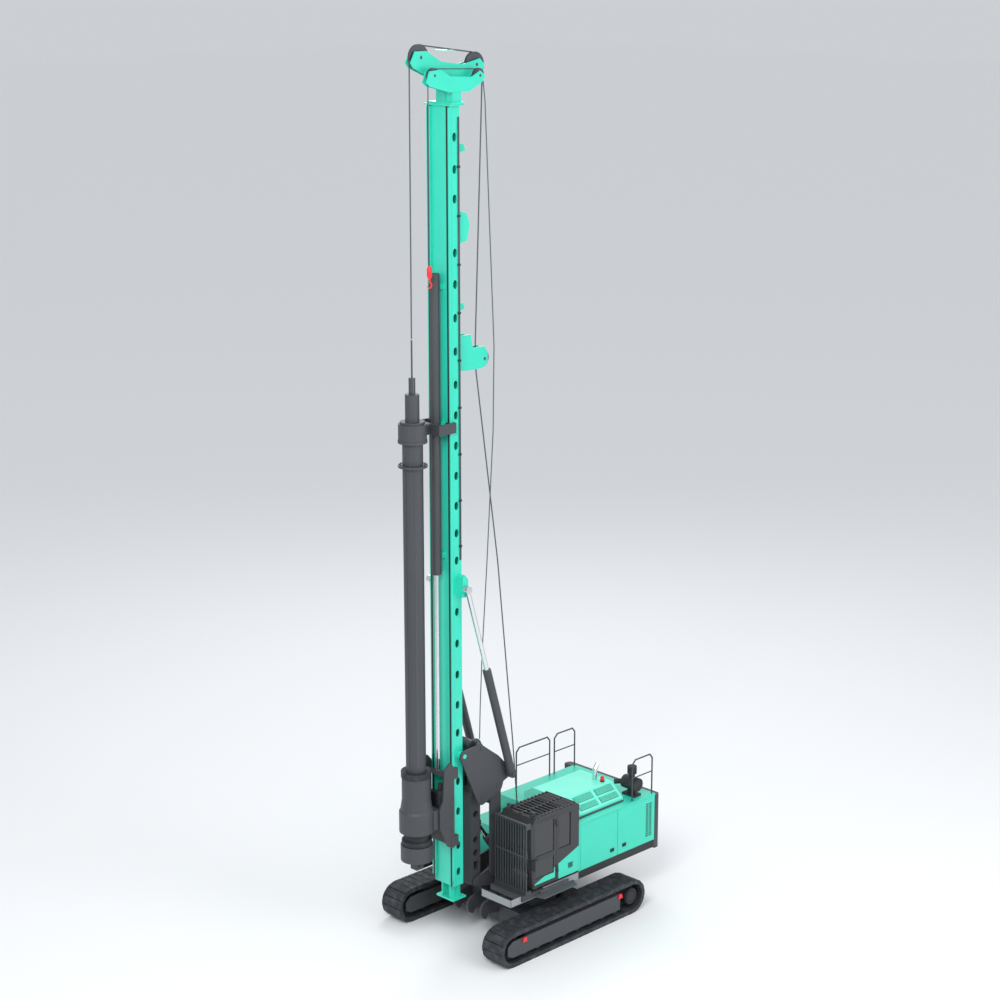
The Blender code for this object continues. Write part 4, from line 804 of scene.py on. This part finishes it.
@dataclass
class Ropes:
    """Main and auxiliary ropes and the auxiliary hook."""

    radius: float = 0.014
    aux_x: float = 0.29
    main_groove: float = 0.242     # rope's centre from the sheave's, in its groove
    aux_groove: float = 0.130
    deflection_groove: float = 0.182

    @staticmethod
    def turn(centre: tuple, radius: float, start: float, end: float, x: float, steps: int = 14) -> np.ndarray:
        """Arc round a sheave: (x, y + r cos a, z + r sin a) from start to end in degrees."""
        angle = np.radians(np.linspace(start, end, steps))
        return np.stack([np.full(steps, x), centre[0] + radius * np.cos(angle), centre[1] + radius * np.sin(angle)], 1)

    def hang(self, name: str, radius: float, path: list) -> None:
        """Rope that leaves the mast and ends at a winch, made as one fixed piece on no body.

        Args:
            name: the piece's name.
            radius: half of its thickness.
            path: its bends from the mast down, filled in evenly by height.
        """
        bends = np.asarray(path, float)
        heights = np.linspace(bends[0, 2], bends[-1, 2], 48)
        line = np.stack([np.interp(-heights, -bends[:, 2], bends[:, axis]) for axis in range(3)], axis=1)
        rope = Shape().tube(line, radius, 8).piece(name, "rope_steel", "")
        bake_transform(rope)

    def build(self) -> None:
        """Run both ropes over their sheaves and hang the hook."""
        front, rear = (-2.74, 19.40), (-1.19, 19.20)
        main = [[(0, -3.0, 13.75)], self.turn(front, self.main_groove, 180, 90, 0.0),
                self.turn(rear, self.main_groove, 90, 0, 0.0),
                self.turn((-1.01, 13.09), self.deflection_groove, 180, 196, 0.0, 4)]
        Shape().tube(np.concatenate([np.asarray(p, float) for p in main]), self.radius, 8
                     ).piece("main_rope_mast", "rope_steel", "mast")
        self.hang("main_rope_lower", self.radius,
                  [(0, -1.186, 13.0), (0, -0.52, 8.53), (0, -0.05, 4.24), (0, 0.10, 2.62), (0, 0.12, 2.28)])
        x = self.aux_x
        drop_y = -2.62 - self.aux_groove
        aux = [[(x, drop_y, 15.25)], self.turn((-2.62, 19.05), self.aux_groove, 180, 90, x),
               self.turn((-1.36, 19.00), self.aux_groove, 90, 0, x),
               [(x, -1.16, 18.49), (x, -0.91, 13.38), (x, -0.94, 11.55), (x, -1.13, 8.71), (x, -1.29, 6.59)]]
        Shape().tube(np.concatenate([np.asarray(p, float) for p in aux]), self.radius * 0.8, 8
                     ).piece("aux_rope_mast", "rope_steel", "mast")
        self.hang("aux_rope_lower", self.radius * 0.8,
                  [(x, -1.29, 6.59), (x, -1.32, 6.0), (x, -1.35, 5.4), (x, -1.37, 4.70)])
        hook = Shape().tube([(x, drop_y, z) for z in (15.26, 15.20, 15.05, 14.98)],
                            np.array([0.02, 0.055, 0.055, 0.02]), 20)
        bend = self.turn((drop_y, 14.86), 0.055, 80, -170, x, 14)
        hook.tube(np.concatenate([[(x, drop_y, 14.99)], bend]), np.linspace(0.02, 0.012, 15), 10)
        hook.piece("aux_hook", "red_paint", "mast")


# ------------------------------------------------------------------ CAD nodes and stage
def dress() -> None:
    """Give each CAD node the finish its record slot names, and the engine hood a lighter green that is painted light.
    """
    slots = {row["node"]: row["material_slot"] for row in frame["record"]["subparts"]}
    for name, obj in frame["nodes"].items():
        finish = slots[name]
        # The engine hood wears the lighter green: painted light on the green paint.
        if name in ("engine_hood",):
            finish = "lit_green"
        obj.data.materials.clear()
        obj.data.materials.append(WARDROBE.get(finish))
        obj.data.shade_smooth()
        obj.data.set_sharp_from_angle(angle=np.radians(30))
        LOG.info("%s wears %s", name, finish)


@dataclass
class Studio:
    """Pale floor, soft lights and the camera."""

    eye: tuple = (32.747, -33.04, 21.84)
    azimuth: float = 45.0
    pitch: float = 14.511
    lens: float = 79.2

    def build(self) -> None:
        """Make everything that isn't the machine."""
        scene = bpy.context.scene
        scene.view_settings.view_transform = "Standard"
        world = scene.world or bpy.data.worlds.new("world")
        scene.world = world
        world.use_nodes = True
        back = world.node_tree.nodes["Background"]
        back.inputs[0].default_value = (0.90, 0.93, 0.96, 1)
        back.inputs[1].default_value = 0.75
        links, nodes = world.node_tree.links, world.node_tree.nodes
        seen, ray, mix = (nodes.new(kind) for kind in ("ShaderNodeBackground", "ShaderNodeLightPath",
                                                       "ShaderNodeMixShader"))
        seen.inputs[0].default_value = (0.60, 0.625, 0.65, 1)
        links.new(ray.outputs["Is Camera Ray"], mix.inputs[0])
        links.new(back.outputs[0], mix.inputs[1])
        links.new(seen.outputs[0], mix.inputs[2])
        links.new(mix.outputs[0], nodes["World Output"].inputs[0])
        mesh = bpy.data.meshes.new("floor")
        mesh.from_pydata([(-300, -300, -0.002), (300, -300, -0.002), (300, 300, -0.002), (-300, 300, -0.002)], [],
                         [(0, 1, 2, 3)])
        floor = bpy.data.objects.new("floor", mesh)
        scene.collection.objects.link(floor)
        tree = Tree("floor_paint")
        mesh.materials.append(tree.surface(Base_Color=(0.87, 0.88, 0.89, 1), Roughness=0.9))
        for name, place, size, power in (("key", (14, -22, 26), 12, 5200), ("fill", (26, 4, 16), 14, 2600),
                                         ("back", (-16, 16, 24), 12, 1800)):
            lamp = bpy.data.lights.new(name, "AREA")
            lamp.size, lamp.energy = size, power
            obj = bpy.data.objects.new(name, lamp)
            scene.collection.objects.link(obj)
            aim = Vector((0, 0, 7)) - Vector(place)
            obj.matrix_world = Matrix.Translation(place) @ aim.to_track_quat("-Z", "Y").to_matrix().to_4x4()
        camera = bpy.data.cameras.new("camera")
        camera.lens, camera.sensor_width, camera.shift_x = self.lens, 36.0, -0.005
        camera.clip_end = 500.0
        eye = bpy.data.objects.new("camera", camera)
        scene.collection.objects.link(eye)
        turn, drop = np.radians(self.azimuth), np.radians(self.pitch)
        way = Vector((-np.sin(turn) * np.cos(drop), np.cos(turn) * np.cos(drop), -np.sin(drop)))
        eye.matrix_world = Matrix.Translation(self.eye) @ way.to_track_quat("-Z", "Y").to_matrix().to_4x4()
        scene.camera = eye


def main() -> None:
    """Dress the CAD nodes, add every fine piece and light it."""
    logging.basicConfig(level=logging.INFO)
    dress()
    for assembly in (Crawler(), House(), Hood(), Cab(), MastTrim(), Drilling(), Ropes()):
        assembly.build()
    Studio().build()
    bpy.context.view_layer.update()


if __name__ == "__main__":
    main()
